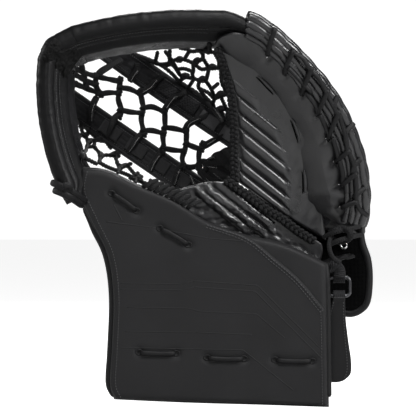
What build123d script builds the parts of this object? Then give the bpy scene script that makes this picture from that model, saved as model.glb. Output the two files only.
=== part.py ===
"""Ice hockey goalkeeper's catch glove for the left hand, in millimetres, +Z up.

The palm faces -Y and the back of the hand +Y. The origin is the middle of the wrist opening, level with
the lower edge of the cuff. The glove has two stiff halves, the cuff with the thumb and the fingers, which
fold towards each other about one slanting line, and a laced pocket hangs behind that line.
Each function makes one named piece, and write_parts() at the end exports one STEP file for each piece.
"""

import os
from math import atan2, cos, degrees, radians, sin, sqrt

from build123d import *

# Overall sizes. Outline points are drawn on a glove of the drawn size and stretched to these.
DRAWN_WIDTH, DRAWN_HEIGHT = 315.0, 368.0
GLOVE_WIDTH = 315.0
GLOVE_HEIGHT = 368.0
WIDE = GLOVE_WIDTH / DRAWN_WIDTH
TALL = GLOVE_HEIGHT / DRAWN_HEIGHT

# Cuff and thumb board, from the palm side to the hand
BOARD_FRONT = -57.0
OVERLAY = 3.0
SKIN = 2.0
FOAM = 11.0
PLATE = 2.5
LINING = 2.0
BINDING = 3.0
BINDING_DEPTH = 9.0
FIT_GAP = 0.2
BOARD_BACK = BOARD_FRONT + SKIN + FOAM + PLATE + LINING

# Lacing
LACE_WIDTH = 4.0
LACE_THICK = 1.8
LACE_HOLE = 2.6
EYELET_WIDTH = 1.4
EYELET_THICK = 0.8

# Fold line, from the heel of the palm to the corner of the rim
FOLD_HEEL = Vector(97 * WIDE, -5, 152 * TALL)
FOLD_CORNER = Vector(-152 * WIDE, -82, 322 * TALL)

# Finger half: a hollow curve across the fold line, and the layers behind it
HOLLOW_START = (0.0, 6.0)
HOLLOW_MIDDLE = (65.0, -3.0)
HOLLOW_END = (130.0, -30.0)
PALM_SKIN = 3.0
PALM_FOAM = 6.0
FINGER_PLATE = 2.5
FINGER_LINING = 1.5
PAD_RISE = 9.0
ROLL_RADIUS = 2.8
EDGE_LACES = 9
WALL = 4.0
WALL_BACK = 44.0
BACK_PANEL = 4.0

# Rim round the mouth of the pocket
RIM_FRONT = -80.0
RIM_WIDTH = 34.0
RIM_THICK = 13.0
RIM_SLANT = 48.0
RIM_SKIN = 1.8
RIM_PLATE = 2.0

# Pocket: a trough behind the fold line, from the palm's heel to the rim's corner
POCKET_HEEL = (97.0, -6.0)
POCKET_BOTTOM = (190.0, 90.0)
POCKET_CORNER = (278.0, -42.0)
POCKET_SKIN = 3.0
BAND_WIDTH = 26.0
LOWER_BAND = -38.0
UPPER_BAND = 26.0
NET_THICK = 2.0
NET_CELLS = 9
NET_CORD = 3.0
SIDE_NET_LEAN = 42.0

# Inside for the hand
STALL_RADIUS = 9.5
STALL_WALL = 1.3
STALL_PITCH = 19.5
STALL_LENGTH = 50.0
THUMB_RADIUS = 13.0
STRAP_WIDTH = 38.0
STRAP_THICK = 3.0

# Backhand pad, with its mesh lining towards the hand
BACKHAND_FRONT = 48.0
BACKHAND_SKIN = 2.0
BACKHAND_FOAM = 8.0
BACKHAND_BACK = BACKHAND_FRONT + 2 * BACKHAND_SKIN + BACKHAND_FOAM

# Wrist strap's ring and tab
RING_MIDDLE = Vector(111 * WIDE, -33, 112 * TALL)
RING_WIDTH = 20.0
RING_HEIGHT = 17.0
RING_WIRE = 1.6
LOOP_BORE = 2.8
LOOP_SKIN = 2.4
LOOP_WIDTH = 11.0
TAB_SKIN = 2.4
TAB_LINING = 2.0

U = (FOLD_CORNER - FOLD_HEEL).normalized()
W = (Vector(0, 1, 0) - U * U.Y).normalized()
fold = Plane(origin=FOLD_HEEL, x_dir=U, z_dir=W)
trough = Plane(origin=(FOLD_HEEL.X, 0, FOLD_HEEL.Z), x_dir=(U.X, 0, U.Z), z_dir=(0, 1, 0))


def drawn(points):
    """Outline points in X and Z, stretched to the glove's size."""
    return [(x * WIDE, z * TALL) for x, z in points]


def upright(outline, front, back):
    """A solid with an outline drawn in X and Z, between two depths."""
    face = Plane(origin=(0, back, 0), x_dir=(1, 0, 0), z_dir=(0, -1, 0)) * outline
    return extrude(face, amount=back - front)


def half_space(side, gap=0.0):
    """A large block on one side of the fold line: 1 is the finger side, -1 the thumb side."""
    size = 900.0
    return fold.location * Pos(0, side * (size / 2 + gap), 0) * Box(size, size, size)


def smooth(points, count=12):
    """Evenly spaced points along a spline, so that faces stay flat and offsets exact."""
    curve = Spline(*points)
    return [tuple(curve @ (n / count))[:2] for n in range(count + 1)]


def face_round(*runs):
    """A face inside runs of points that follow each other."""
    points = []
    for run in runs:
        for point in run:
            if not points or (Vector(*point) - Vector(*points[-1])).length > 0.01:
                points.append(point)
    return make_face(Polyline(*points, close=True))


def grown(face, distance):
    """A face's outline moved outwards, or inwards when the distance is negative."""
    return offset(face, distance, kind=Kind.INTERSECTION)


# ---------------------------------------------------------------- cuff and thumb board
BOARD_LEFT = drawn([(-96, 9), (-101.5, 24), (-100, 56), (-98.5, 104), (-104, 141), (-118, 170), (-131, 200), (-127, 222)])
BOARD_TOP = drawn([(-127, 222), (-104, 220), (-74, 206), (-45, 194), (-12, 173), (22, 161), (60, 152), (99, 134)])
BOARD_FOOT = drawn([(99, 134), (101, 2), (-96, 9)])
SEAM = drawn([(-74, 206), (-40, 188), (-6, 170), (28, 158), (51, 139), (74, 119), (99, 90)])
CUFF_RUNS = drawn([(-73, 53), (-39, 52), (-11, 48), (23, 47), (51, 46), (85, 45)])
THUMB_RUNS = drawn([(-98, 198), (-75, 182), (-54, 166), (-28, 151)])
PLATE_SPLIT = 143 * TALL


def board_outline():
    return face_round(smooth(BOARD_LEFT), smooth(BOARD_TOP), BOARD_FOOT)


def overlay_outline():
    """The front panel that stands proud of the board, below its curved seam."""
    low = [(200, SEAM[-1][1]), (200, -50), (-300, -50), (-300, SEAM[0][1])]
    return board_outline() & face_round(smooth(SEAM), low)


def hole_pins(radius, front, back):
    return [upright(Pos(x, z) * Circle(radius), front, back) for x, z in CUFF_RUNS + THUMB_RUNS]


def through_board(shape):
    """A board layer with its lace holes, all of one size."""
    for pin in hole_pins(LACE_HOLE, BOARD_FRONT - 20, BOARD_BACK + 20):
        shape = shape - pin
    return shape


def cuff_cover():
    """Leather tray: the front skin, and side walls round the foam."""
    outer = upright(board_outline(), BOARD_FRONT, BOARD_BACK)
    inner = upright(grown(board_outline(), -SKIN), BOARD_FRONT + SKIN, BOARD_BACK + 1)
    return through_board(outer - inner)


def board_layer(front, thick):
    inside = grown(board_outline(), -SKIN - FIT_GAP)
    return through_board(upright(inside, front, front + thick))


def cuff_overlay():
    return through_board(upright(overlay_outline(), BOARD_FRONT - OVERLAY, BOARD_FRONT))


def cuff_foam():
    return board_layer(BOARD_FRONT + SKIN, FOAM)


def cuff_plate():
    """Plastic stiffener of the cuff. The thumb has its own, so the board flexes between them."""
    plate = board_layer(BOARD_FRONT + SKIN + FOAM, PLATE)
    return plate & Pos(0, 0, PLATE_SPLIT - 300) * Box(600, 600, 600)


def thumb_plate():
    plate = board_layer(BOARD_FRONT + SKIN + FOAM, PLATE)
    return plate & Pos(-300 - 15 * WIDE, 0, PLATE_SPLIT + 302) * Box(600, 600, 600)


def cuff_lining():
    return board_layer(BOARD_BACK - LINING, LINING)


def cuff_binding(side):
    """Edge strip sewn along one side of the cuff: 1 for the right, -1 for the left."""
    middle = (BOARD_FRONT + BOARD_BACK) / 2
    strip = upright(grown(board_outline(), BINDING), middle - BINDING_DEPTH / 2, middle + BINDING_DEPTH / 2)
    strip = strip - upright(board_outline(), BOARD_FRONT - 1, BOARD_BACK + 1)
    low = 16 * TALL
    high = (128 if side > 0 else 150) * TALL
    return strip & Pos(side * (300 + 80 * WIDE), 0, (low + high) / 2) * Box(600, 600, high - low)


def lace_run(start, end):
    """A run of lace on the front of the board, with a leg through the hole at each end."""
    front = BOARD_FRONT - OVERLAY - EYELET_THICK
    bar = upright(trace(Line(start, end), LACE_WIDTH), front - LACE_THICK, front)
    for x, z in (start, end):
        bar = bar + upright(Pos(x, z) * Circle(LACE_WIDTH / 2), front - LACE_THICK, BOARD_BACK + 1)
    return bar


def laces(holes):
    return Compound(children=[lace_run(a, b) for a, b in zip(holes[::2], holes[1::2])])


def lace_eyelets():
    """Punched rings round the lace holes, alike for all of them."""
    front = BOARD_FRONT - OVERLAY - EYELET_THICK
    outer = hole_pins(LACE_HOLE + EYELET_WIDTH, front, front + EYELET_THICK)
    inner = hole_pins(LACE_HOLE, front - 1, front + 2)
    return Compound(children=[big - small for big, small in zip(outer, inner)])


def heel_gusset():
    """Leather between the top edge of the board and the heel of the palm."""
    strip = grown(board_outline(), -SKIN - FIT_GAP) - grown(board_outline(), -SKIN - 3)
    low, high, left, right = 128 * TALL, 300, -12 * WIDE, 88 * WIDE
    part = face_round([(left, low), (left, high), (right, high), (right, low)])
    return upright(strip & part, BOARD_BACK + FIT_GAP, -8)


# ---------------------------------------------------------------- the finger half's hollow
def circle_through(p, q, r):
    """Centre and radius of the circle through three points."""
    ax, ay, bx, by, cx, cy = *p, *q, *r
    d = 2 * (ax * (by - cy) + bx * (cy - ay) + cx * (ay - by))
    sa, sb, sc = ax * ax + ay * ay, bx * bx + by * by, cx * cx + cy * cy
    x = (sa * (by - cy) + sb * (cy - ay) + sc * (ay - by)) / d
    y = (sa * (cx - bx) + sb * (ax - cx) + sc * (bx - ax)) / d
    return (x, y), sqrt((ax - x) ** 2 + (ay - y) ** 2)


HOLLOW_CENTRE, HOLLOW_RADIUS = circle_through(HOLLOW_START, HOLLOW_MIDDLE, HOLLOW_END)
PALM_LEFT = drawn([(1, 330), (10, 305), (15, 280), (17, 255), (17, 235), (18, 205)])
PAD_OUTER = drawn([(-4, 332), (12, 343), (30, 336), (62, 309), (92, 272), (112, 229), (118, 190), (112, 170)])
PAD_INNER = drawn([(112, 170), (95, 171), (79, 198), (74, 243), (50, 288), (16, 317), (-4, 332)])
WALL_LINE = drawn([(24, 359), (49, 344), (82, 313), (104, 289), (119, 264), (129, 237), (135, 205), (137, 158)])
BACK_INNER = drawn([(40, 184), (34, 214), (48, 262), (38, 300), (24, 334)])


def hollow_roll(radius):
    """A cylinder along the fold line, which a curved layer's face follows."""
    across, depth = HOLLOW_CENTRE
    return fold.location * Pos(0, across, depth) * Rot(0, 90, 0) * Cylinder(radius, 1000)


def hollow_layer(outline, near, far):
    """A curved sheet with an outline in X and Z, between two depths behind the palm's face."""
    sheet = hollow_roll(HOLLOW_RADIUS + far) - hollow_roll(HOLLOW_RADIUS + near)
    return sheet & upright(outline, -120, 80)


def hollow_depth(x, z, behind=0.0):
    """Y of the palm's face at X and Z, or of a layer behind it."""
    across, depth = HOLLOW_CENTRE
    y = 0.0
    for _ in range(20):
        spot = fold.to_local_coords(Vector(x, y, z))
        reach = sqrt((HOLLOW_RADIUS + behind) ** 2 - (spot.Y - across) ** 2)
        y += (depth + reach - spot.Z) * W.Y
    return y


def palm_outline():
    """Quilted palm: from the pocket's edge to the finger pad, above the fold."""
    heel = (FOLD_HEEL.X - 1, FOLD_HEEL.Z + 2)
    return face_round(smooth(PALM_LEFT), [heel], smooth(PAD_INNER)[2:-2])


def pad_outline():
    return face_round(smooth(PAD_OUTER, 16), smooth(PAD_INNER, 16)[:-1])


def backing_outline():
    """The layers behind both the palm and the finger pad."""
    heel = (FOLD_HEEL.X - 1, FOLD_HEEL.Z + 7)
    return grown(face_round(smooth(PALM_LEFT), [heel], smooth(PAD_OUTER, 16)[::-1][:-1]), -3)


def above_fold(shape, gap):
    return shape & half_space(1, gap)


def palm_upper():
    return above_fold(hollow_layer(grown(palm_outline(), -FIT_GAP) - pad_outline(), 0, PALM_SKIN), 1.0)


def palm_foam():
    inner = grown(palm_outline(), -4) - grown(pad_outline(), 1)
    return above_fold(hollow_layer(inner, PALM_SKIN, PALM_SKIN + PALM_FOAM), 4.0)


def finger_pad():
    return hollow_layer(pad_outline(), -PAD_RISE, PALM_SKIN + PALM_FOAM)


def finger_plate():
    near = PALM_SKIN + PALM_FOAM
    return above_fold(hollow_layer(backing_outline(), near, near + FINGER_PLATE), 4.0)


def finger_lining():
    near = PALM_SKIN + PALM_FOAM + FINGER_PLATE
    return above_fold(hollow_layer(backing_outline(), near, near + FINGER_LINING), 4.0)


def palm_lower():
    """Heel of the palm below the fold line, in the plane that the fold line lies in."""
    top = [(FOLD_HEEL.X - 2, FOLD_HEEL.Z + 4), (PALM_LEFT[-1][0], PALM_LEFT[-1][1])]
    low = drawn([(-30, 199), (-12, 184), (22, 172), (60, 163), (93, 148)])
    depth = HOLLOW_START[1]
    slab = fold.location * Pos(0, 0, depth + PALM_SKIN / 2) * Box(900, 900, PALM_SKIN)
    return slab & upright(face_round(top, low), -120, 80) & half_space(-1, 1.0)


def edge_point(x, z, out, front):
    """A point outside the pad's edge, and in front of the palm's face."""
    (cx, cz), = drawn([(10, 200)])
    away = Vector(x - cx, 0, z - cz).normalized() * out
    x, z = x + away.X, z + away.Z
    return Vector(x, hollow_depth(x, z, -front), z)


def edge_roll(out, front):
    """A padded roll along the finger half's edge, in straight runs joined by arcs."""
    path = FilletPolyline(*[edge_point(x, z, out, front) for x, z in PAD_OUTER[2:-1]], radius=24)
    start = Plane(origin=path @ 0, z_dir=path % 0)
    return sweep(start * Circle(ROLL_RADIUS), path=path)


def edge_laces():
    """Flat laces from the pad's holes across both rolls to the side wall."""
    edge = smooth(PAD_OUTER[2:-1], 2 * EDGE_LACES)[1::2]
    bars = []
    for x, z in edge:
        start = edge_point(x, z, -4.0, PAD_RISE + 2.5)
        end = edge_point(x, z, 4 * ROLL_RADIUS + 3, PAD_RISE + 2.5)
        run = end - start
        place = Plane(origin=(start + end) / 2, x_dir=run, z_dir=run.cross(Vector(-run.Z, 0, run.X)))
        bars.append(place.location * Box(run.length, LACE_WIDTH, LACE_THICK))
    return Compound(children=bars)


def side_wall():
    """Outer wall from the laced edge to the back of the fingers."""
    band = upright(trace(Polyline(*smooth(WALL_LINE, 16)), WALL), -100, WALL_BACK)
    return (band - hollow_roll(HOLLOW_RADIUS - 2)) & half_space(1, 3.0)


def finger_back_panel():
    """Padded panel over the backs of the fingers."""
    face = face_round(smooth(WALL_LINE, 16), smooth(BACK_INNER))
    return upright(grown(face, -WALL), WALL_BACK - BACK_PANEL, WALL_BACK)


def palm_edge_lace():
    """Braided lace along the pocket's edge of the palm."""
    spots = [Vector(x - 4, hollow_depth(x - 4, z, 1.5), z) for x, z in PALM_LEFT[1:-1]]
    path = FilletPolyline(*spots, radius=30)
    start = Plane(origin=path @ 0, z_dir=path % 0)
    return sweep(start * Circle(2.2), path=path)


def finger_stalls():
    """Four sewn tubes for the fingers, closed at their tips."""
    stalls = []
    behind = PALM_SKIN + PALM_FOAM + FINGER_PLATE + FINGER_LINING + STALL_RADIUS + 4
    for n in range(4):
        x0, z0 = 60 * WIDE + STALL_PITCH * n, (196 - 6 * n) * TALL
        x1, z1 = x0 - 5, z0 + STALL_LENGTH
        low = Vector(x0, hollow_depth(x0, z0, behind), z0)
        run = Vector(x1, hollow_depth(x1, z1, behind), z1) - low
        tube = Pos(0, 0, STALL_LENGTH / 2) * Cylinder(STALL_RADIUS, STALL_LENGTH)
        bore = Pos(0, 0, STALL_LENGTH / 2 - 4) * Cylinder(STALL_RADIUS - STALL_WALL, STALL_LENGTH)
        stalls.append(Plane(origin=low, z_dir=run).location * (tube - bore))
    return Compound(children=stalls)


def thumb_stall():
    """Sewn tube for the thumb on the back of the board, closed at its tip."""
    (x0, z0), (x1, z1) = drawn([(-38, 118), (-84, 180)])
    middle = BOARD_BACK + THUMB_RADIUS + 1
    run = Vector(x1 - x0, 0, z1 - z0)
    tube = Pos(0, 0, run.length / 2) * Cylinder(THUMB_RADIUS, run.length)
    bore = Pos(0, 0, run.length / 2 - 4) * Cylinder(THUMB_RADIUS - 1.5, run.length)
    return Plane(origin=(x0, middle, z0), z_dir=run).location * (tube - bore)


# ---------------------------------------------------------------- rim
TOP_RIM = [(-168, 341), (-84, 363), (-7, 367)]
LEFT_RIM = [(-141, 186), (-166, 262), (-163, 345)]
CORNER_FROM, CORNER_TO = -5.0, 15.0


def rim_path(points):
    return ThreePointArc(*[Vector(x, RIM_FRONT, z) for x, z in drawn(points)])


def rim_profile(path, inset, near, far):
    """The rim's slanting cross-section at the start of its path."""
    tangent = path % 0
    inward = Vector(tangent.Z, 0, -tangent.X)
    slant = radians(RIM_SLANT)
    along = inward * cos(slant) + Vector(0, 1, 0) * sin(slant)
    across = Vector(0, 1, 0) * cos(slant) - inward * sin(slant)
    edge = path @ 0 + inward * RIM_THICK * sin(slant)
    corners = [(inset, near), (RIM_WIDTH - inset, near), (RIM_WIDTH - inset, far), (inset, far)]
    return make_face(Polyline(*[edge + along * a + across * b for a, b in corners], close=True))


def rim_bar(points, inset, near, far):
    path = rim_path(points)
    return sweep(rim_profile(path, inset, near, far), path=path)


def rim_layers(points, side, gap):
    """Leather cover, foam and plastic stiffener of one stiff side of the rim."""
    deep = RIM_THICK - RIM_SKIN
    keep = half_space(side, gap)
    if side < 0:
        keep = keep - upright(grown(board_outline(), FIT_GAP), -100, 60)
    cover = rim_bar(points, 0, 0, RIM_THICK) - rim_bar(points, RIM_SKIN, RIM_SKIN, deep)
    foam = rim_bar(points, RIM_SKIN, RIM_SKIN, deep - RIM_PLATE)
    plate = rim_bar(points, RIM_SKIN, deep - RIM_PLATE, deep)
    return cover & keep, foam & keep, plate & keep


def rim_corner():
    """Soft corner of the rim, where it folds."""
    outline = drawn([(-166, 318), (-164.5, 333), (-158, 345), (-148, 351), (-136, 353), (-120, 330), (-137, 305)])
    block = upright(face_round(outline), RIM_FRONT + 2, RIM_FRONT + 36)
    return block & half_space(1, CORNER_FROM) & half_space(-1, -CORNER_TO)


def rim_tie():
    """Leather tie round the lower end of the rim, sewn to the board."""
    start, end = drawn([(-149, 205), (-119, 191)])
    front = BOARD_FRONT - OVERLAY
    bar = upright(trace(Line(start, end), 8), RIM_FRONT - 4.5, RIM_FRONT - 2)
    foot = upright(Pos(*end) * Circle(4), RIM_FRONT - 4.5, front)
    return bar + foot


# ---------------------------------------------------------------- pocket
POCKET_CENTRE, POCKET_RADIUS = circle_through(POCKET_HEEL, POCKET_BOTTOM, POCKET_CORNER)


def pocket_angle(spot):
    """Angle of a point round the trough, from -90 to 270 degrees."""
    angle = degrees(atan2(spot[1] - POCKET_CENTRE[1], spot[0] - POCKET_CENTRE[0]))
    return (angle + 90) % 360 - 90


POCKET_FROM, POCKET_TO = pocket_angle(POCKET_HEEL), pocket_angle(POCKET_CORNER)


def pocket_spot(radius, angle):
    return (POCKET_CENTRE[0] + radius * cos(radians(angle)), POCKET_CENTRE[1] + radius * sin(radians(angle)))


def pocket_strip(low, high, inner, outer, start=POCKET_FROM, end=POCKET_TO):
    """A strip of the trough between two distances across it, two radii and two angles."""
    middle = (start + end) / 2
    face = make_face([
        ThreePointArc(*[pocket_spot(inner, a) for a in (start, middle, end)]),
        Line(pocket_spot(inner, end), pocket_spot(outer, end)),
        ThreePointArc(*[pocket_spot(outer, a) for a in (end, middle, start)]),
        Line(pocket_spot(outer, start), pocket_spot(inner, start)),
    ])
    across = trough.y_dir
    plane = Plane(origin=trough.origin + across * low, x_dir=trough.x_dir, z_dir=across * -1)
    return extrude(plane * face, amount=low - high)


def pocket_band(low):
    return pocket_strip(low, low + BAND_WIDTH, POCKET_RADIUS, POCKET_RADIUS + POCKET_SKIN)


def pocket_heel():
    """The turn that joins both bands next to the palm."""
    turn = POCKET_FROM + 12 * (1 if POCKET_TO > POCKET_FROM else -1)
    gap = 0.2
    low, high = LOWER_BAND + BAND_WIDTH + gap, UPPER_BAND - gap
    return pocket_strip(low, high, POCKET_RADIUS, POCKET_RADIUS + POCKET_SKIN, POCKET_FROM, turn)


def pocket_net():
    """Net between the bands: one curved lattice of cords with square cells."""
    step = (POCKET_TO - POCKET_FROM) / abs(POCKET_TO - POCKET_FROM)
    start, end = POCKET_FROM + 13 * step, POCKET_TO - 2 * step
    low, high = LOWER_BAND + BAND_WIDTH + 0.3, UPPER_BAND - 0.3
    wide = degrees(NET_CORD / POCKET_RADIUS) * step
    pitch = (end - start - wide) / NET_CELLS
    across = (high - low - NET_CORD) / 2
    net = pocket_strip(low, high, POCKET_RADIUS, POCKET_RADIUS + NET_THICK, start, end)
    for n in range(NET_CELLS):
        angle = start + pitch * n + wide
        for at in (low + NET_CORD, low + NET_CORD + across):
            cell = (at, at + across - NET_CORD, POCKET_RADIUS - 2, POCKET_RADIUS + 6)
            net = net - pocket_strip(*cell, angle, angle + pitch - wide)
    return net


def side_net(side):
    """Net between a band and the rim, leaning outwards: 1 on the finger side, -1 on the thumb side."""
    edge = UPPER_BAND + BAND_WIDTH + 1 if side > 0 else LOWER_BAND - 1
    front = RIM_FRONT + 42
    height = POCKET_BOTTOM[1] - front
    lean = SIDE_NET_LEAN if side > 0 else 16
    tilt = degrees(atan2(lean, height)) * side
    length = sqrt(height ** 2 + lean ** 2)
    slab = trough.location * Pos(0, edge, POCKET_BOTTOM[1]) * Rot(tilt, 0, 0)
    slab = slab * Pos(0, side * NET_THICK / 2, -length / 2) * Box(900, NET_THICK, length)
    inside = trough.location * Pos(POCKET_CENTRE[0], 0, POCKET_CENTRE[1])
    inside = inside * Rot(90, 0, 0) * Cylinder(POCKET_RADIUS - 4, 900)
    mouth = drawn([(-133, 322), (-80, 334), (-12, 333), (-2, 305), (4, 280), (7, 255), (9, 215),
                   (-20, 203), (-43, 193), (-74, 204), (-104, 219), (-131, 232), (-137, 275)])
    return slab & inside & upright(face_round(mouth), front, 120)


# ---------------------------------------------------------------- wrist
def wrist_strap():
    """Strap round the back of the wrist, sewn to the lining on both sides."""
    left, right = -82 * WIDE, 80 * WIDE
    start = BOARD_BACK + FIT_GAP
    line = FilletPolyline((left, start), (left, 34), (right, 34), (right, start), radius=16)
    band = Plane(origin=(0, 0, 98 * TALL)) * trace(line, STRAP_THICK)
    return extrude(band, amount=STRAP_WIDTH)


def ring_bar(side):
    """Middle of the ring's upper bar (1) or lower bar (-1)."""
    return RING_MIDDLE + Vector(0, 0, side * RING_HEIGHT / 2)


def webbing_loop(side, width):
    """A loop of webbing round one bar of the ring."""
    bar = ring_bar(side)
    loop = Cylinder(LOOP_BORE + LOOP_SKIN, width) - Cylinder(LOOP_BORE, width + 2)
    return Pos(bar.X, bar.Y, bar.Z) * Rot(0, 90, 0) * loop


def ring_anchor():
    """Webbing sewn behind the edge of the board, looped round the ring's upper bar."""
    bar = ring_bar(1)
    front = bar.Y - LOOP_BORE - LOOP_SKIN
    left, right = bar.X - LOOP_WIDTH / 2, bar.X + LOOP_WIDTH / 2
    top = 133 * TALL
    inner = 90 * WIDE
    hang = upright(face_round([(left, bar.Z), (left, top), (right, top), (right, bar.Z)]), front, front + LOOP_SKIN)
    arm = upright(face_round([(inner, top - 11), (inner, top), (right, top), (right, top - 11)]), front, front + LOOP_SKIN)
    foot = [(inner, top - 11), (inner, top), (inner + 8, top), (inner + 8, top - 11)]
    sewn = upright(face_round(foot), BOARD_BACK, front + LOOP_SKIN)
    bore = Pos(bar.X, bar.Y, bar.Z) * Rot(0, 90, 0) * Cylinder(LOOP_BORE, 60)
    return hang + arm + sewn + webbing_loop(1, LOOP_WIDTH) - bore


def strap_ring():
    wide, high = RING_WIDTH / 2, RING_HEIGHT / 2
    corners = [(-wide, -high), (wide, -high), (wide, high), (-wide, high)]
    outer = Wire(FilletPolyline(*corners, radius=4, close=True).edges())
    path = Plane(origin=RING_MIDDLE, x_dir=(1, 0, 0), z_dir=(0, -1, 0)) * outer
    start = Plane(origin=path @ 0, z_dir=path % 0)
    return sweep(start * Circle(RING_WIRE), path=path)


def tab_outline(inset):
    bar = ring_bar(-1)
    left, right = bar.X - LOOP_WIDTH / 2 + inset, bar.X + LOOP_WIDTH / 2 - inset
    low = drawn([(117, 83), (122, 44), (121, 33), (116, 27), (106, 25), (95, 27), (89, 34), (90, 46), (100, 83)])
    middle = Vector(106 * WIDE, 55 * TALL)
    moved = [tuple(middle + (Vector(x, z) - middle) * (1 - inset / 15))[:2] for x, z in low]
    return face_round([(left, bar.Z), (right, bar.Z)], moved)


def strap_tab():
    """Tapered strap that hangs from the ring's lower bar, looped round it."""
    bar = ring_bar(-1)
    front = bar.Y - LOOP_BORE - LOOP_SKIN
    strap = upright(tab_outline(0), front, front + TAB_SKIN)
    bore = Pos(bar.X, bar.Y, bar.Z) * Rot(0, 90, 0) * Cylinder(LOOP_BORE, 60)
    return strap + webbing_loop(-1, LOOP_WIDTH) - bore


def strap_tab_lining():
    bar = ring_bar(-1)
    front = bar.Y - LOOP_BORE - LOOP_SKIN + TAB_SKIN
    low = Pos(0, 0, bar.Z - 12 - 300) * Box(900, 900, 600)
    return upright(tab_outline(1.5), front, front + TAB_LINING) & low


# ---------------------------------------------------------------- backhand pad
def backhand_outline():
    lobe = drawn([(128, 236), (137, 210), (138.5, 184), (140.5, 153), (146, 134), (147.3, 115), (145, 94),
                  (139, 85), (128, 80.5), (112, 84), (86, 92), (52, 100), (34, 122), (26, 160), (30, 205),
                  (44, 232), (84, 241)])
    return face_round(smooth(lobe + lobe[:1], 32)[:-1])


def backhand_binding():
    """Rolled edge round the pad, with its skin."""
    outer = upright(backhand_outline(), BACKHAND_FRONT, BACKHAND_BACK)
    inside = grown(backhand_outline(), -BACKHAND_SKIN)
    return outer - upright(inside, BACKHAND_FRONT - 1, BACKHAND_BACK + 1)


def backhand_layer(front, thick):
    return upright(grown(backhand_outline(), -BACKHAND_SKIN - FIT_GAP), front, front + thick)


def backhand_mesh():
    return backhand_layer(BACKHAND_FRONT, BACKHAND_SKIN)


def backhand_foam():
    return backhand_layer(BACKHAND_FRONT + BACKHAND_SKIN, BACKHAND_FOAM)


def backhand_skin():
    return backhand_layer(BACKHAND_BACK - BACKHAND_SKIN, BACKHAND_SKIN)


def backhand_rivet():
    """Small metal eyelet in the lobe of the pad."""
    (x, z), = drawn([(120, 149)])
    ring = Circle(4) - Circle(1.6)
    return upright(Pos(x, z) * ring, BACKHAND_FRONT - 1.5, BACKHAND_FRONT)


def backhand_web():
    """Leather wall between the side of the board and the backhand pad."""
    run = drawn([(98, 137), (112, 143), (126, 147)])
    web = upright(trace(Polyline(*run), 2.5), BOARD_BACK + FIT_GAP, BACKHAND_FRONT - 2)
    return web - upright(grown(board_outline(), FIT_GAP), -90, BOARD_BACK + FIT_GAP)


def write_parts(pieces):
    os.makedirs("parts", exist_ok=True)
    for name, shape in pieces.items():
        export_step(shape, f"parts/{name}.step")


if __name__ == "__main__":
    top_cover, top_foam, top_plate = rim_layers(TOP_RIM, 1, CORNER_TO + 1)
    left_cover, left_foam, left_plate = rim_layers(LEFT_RIM, -1, -CORNER_FROM + 1)
    write_parts({
        "cuff_cover": cuff_cover(),
        "cuff_overlay": cuff_overlay(),
        "cuff_foam": cuff_foam(),
        "cuff_plate": cuff_plate(),
        "thumb_plate": thumb_plate(),
        "cuff_lining": cuff_lining(),
        "cuff_binding_left": cuff_binding(-1),
        "cuff_binding_right": cuff_binding(1),
        "cuff_laces": laces(CUFF_RUNS),
        "thumb_laces": laces(THUMB_RUNS),
        "lace_eyelets": lace_eyelets(),
        "heel_gusset": heel_gusset(),
        "palm_lower": palm_lower(),
        "thumb_stall": thumb_stall(),
        "wrist_strap": wrist_strap(),
        "ring_anchor": ring_anchor(),
        "strap_ring": strap_ring(),
        "strap_tab": strap_tab(),
        "strap_tab_lining": strap_tab_lining(),
        "rim_left_cover": left_cover,
        "rim_left_foam": left_foam,
        "rim_left_plate": left_plate,
        "rim_tie": rim_tie(),
        "rim_corner": rim_corner(),
        "rim_top_cover": top_cover,
        "rim_top_foam": top_foam,
        "rim_top_plate": top_plate,
        "pocket_band_lower": pocket_band(LOWER_BAND),
        "pocket_band_upper": pocket_band(UPPER_BAND),
        "pocket_heel": pocket_heel(),
        "pocket_net": pocket_net(),
        "side_net_lower": side_net(-1),
        "side_net_upper": side_net(1),
        "palm_upper": palm_upper(),
        "palm_foam": palm_foam(),
        "palm_edge_lace": palm_edge_lace(),
        "finger_pad": finger_pad(),
        "finger_plate": finger_plate(),
        "finger_lining": finger_lining(),
        "finger_stalls": finger_stalls(),
        "edge_roll_front": edge_roll(ROLL_RADIUS + 2.2, 3.0),
        "edge_roll_back": edge_roll(3 * ROLL_RADIUS + 3.3, 0.0),
        "edge_laces": edge_laces(),
        "side_wall": side_wall(),
        "finger_back_panel": finger_back_panel(),
        "backhand_binding": backhand_binding(),
        "backhand_mesh": backhand_mesh(),
        "backhand_foam": backhand_foam(),
        "backhand_skin": backhand_skin(),
        "backhand_rivet": backhand_rivet(),
        "backhand_web": backhand_web(),
    })
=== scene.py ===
from math import cos, exp, pi, radians, sin, sqrt

import bmesh
import bpy
from mathutils import Matrix, Vector, noise


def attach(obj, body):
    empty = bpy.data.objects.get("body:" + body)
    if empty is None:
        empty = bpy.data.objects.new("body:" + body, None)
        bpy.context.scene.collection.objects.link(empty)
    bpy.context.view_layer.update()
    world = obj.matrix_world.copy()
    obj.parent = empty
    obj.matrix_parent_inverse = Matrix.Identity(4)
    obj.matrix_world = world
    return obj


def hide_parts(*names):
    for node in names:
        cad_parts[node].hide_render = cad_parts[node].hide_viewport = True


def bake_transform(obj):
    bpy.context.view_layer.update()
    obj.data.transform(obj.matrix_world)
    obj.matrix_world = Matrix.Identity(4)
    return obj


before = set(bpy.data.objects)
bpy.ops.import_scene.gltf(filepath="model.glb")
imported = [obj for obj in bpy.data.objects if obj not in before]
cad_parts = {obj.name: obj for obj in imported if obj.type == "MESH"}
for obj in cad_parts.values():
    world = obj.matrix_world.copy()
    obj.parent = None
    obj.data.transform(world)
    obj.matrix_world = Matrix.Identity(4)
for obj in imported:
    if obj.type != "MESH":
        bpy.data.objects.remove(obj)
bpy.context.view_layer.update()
MM = 0.001


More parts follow.
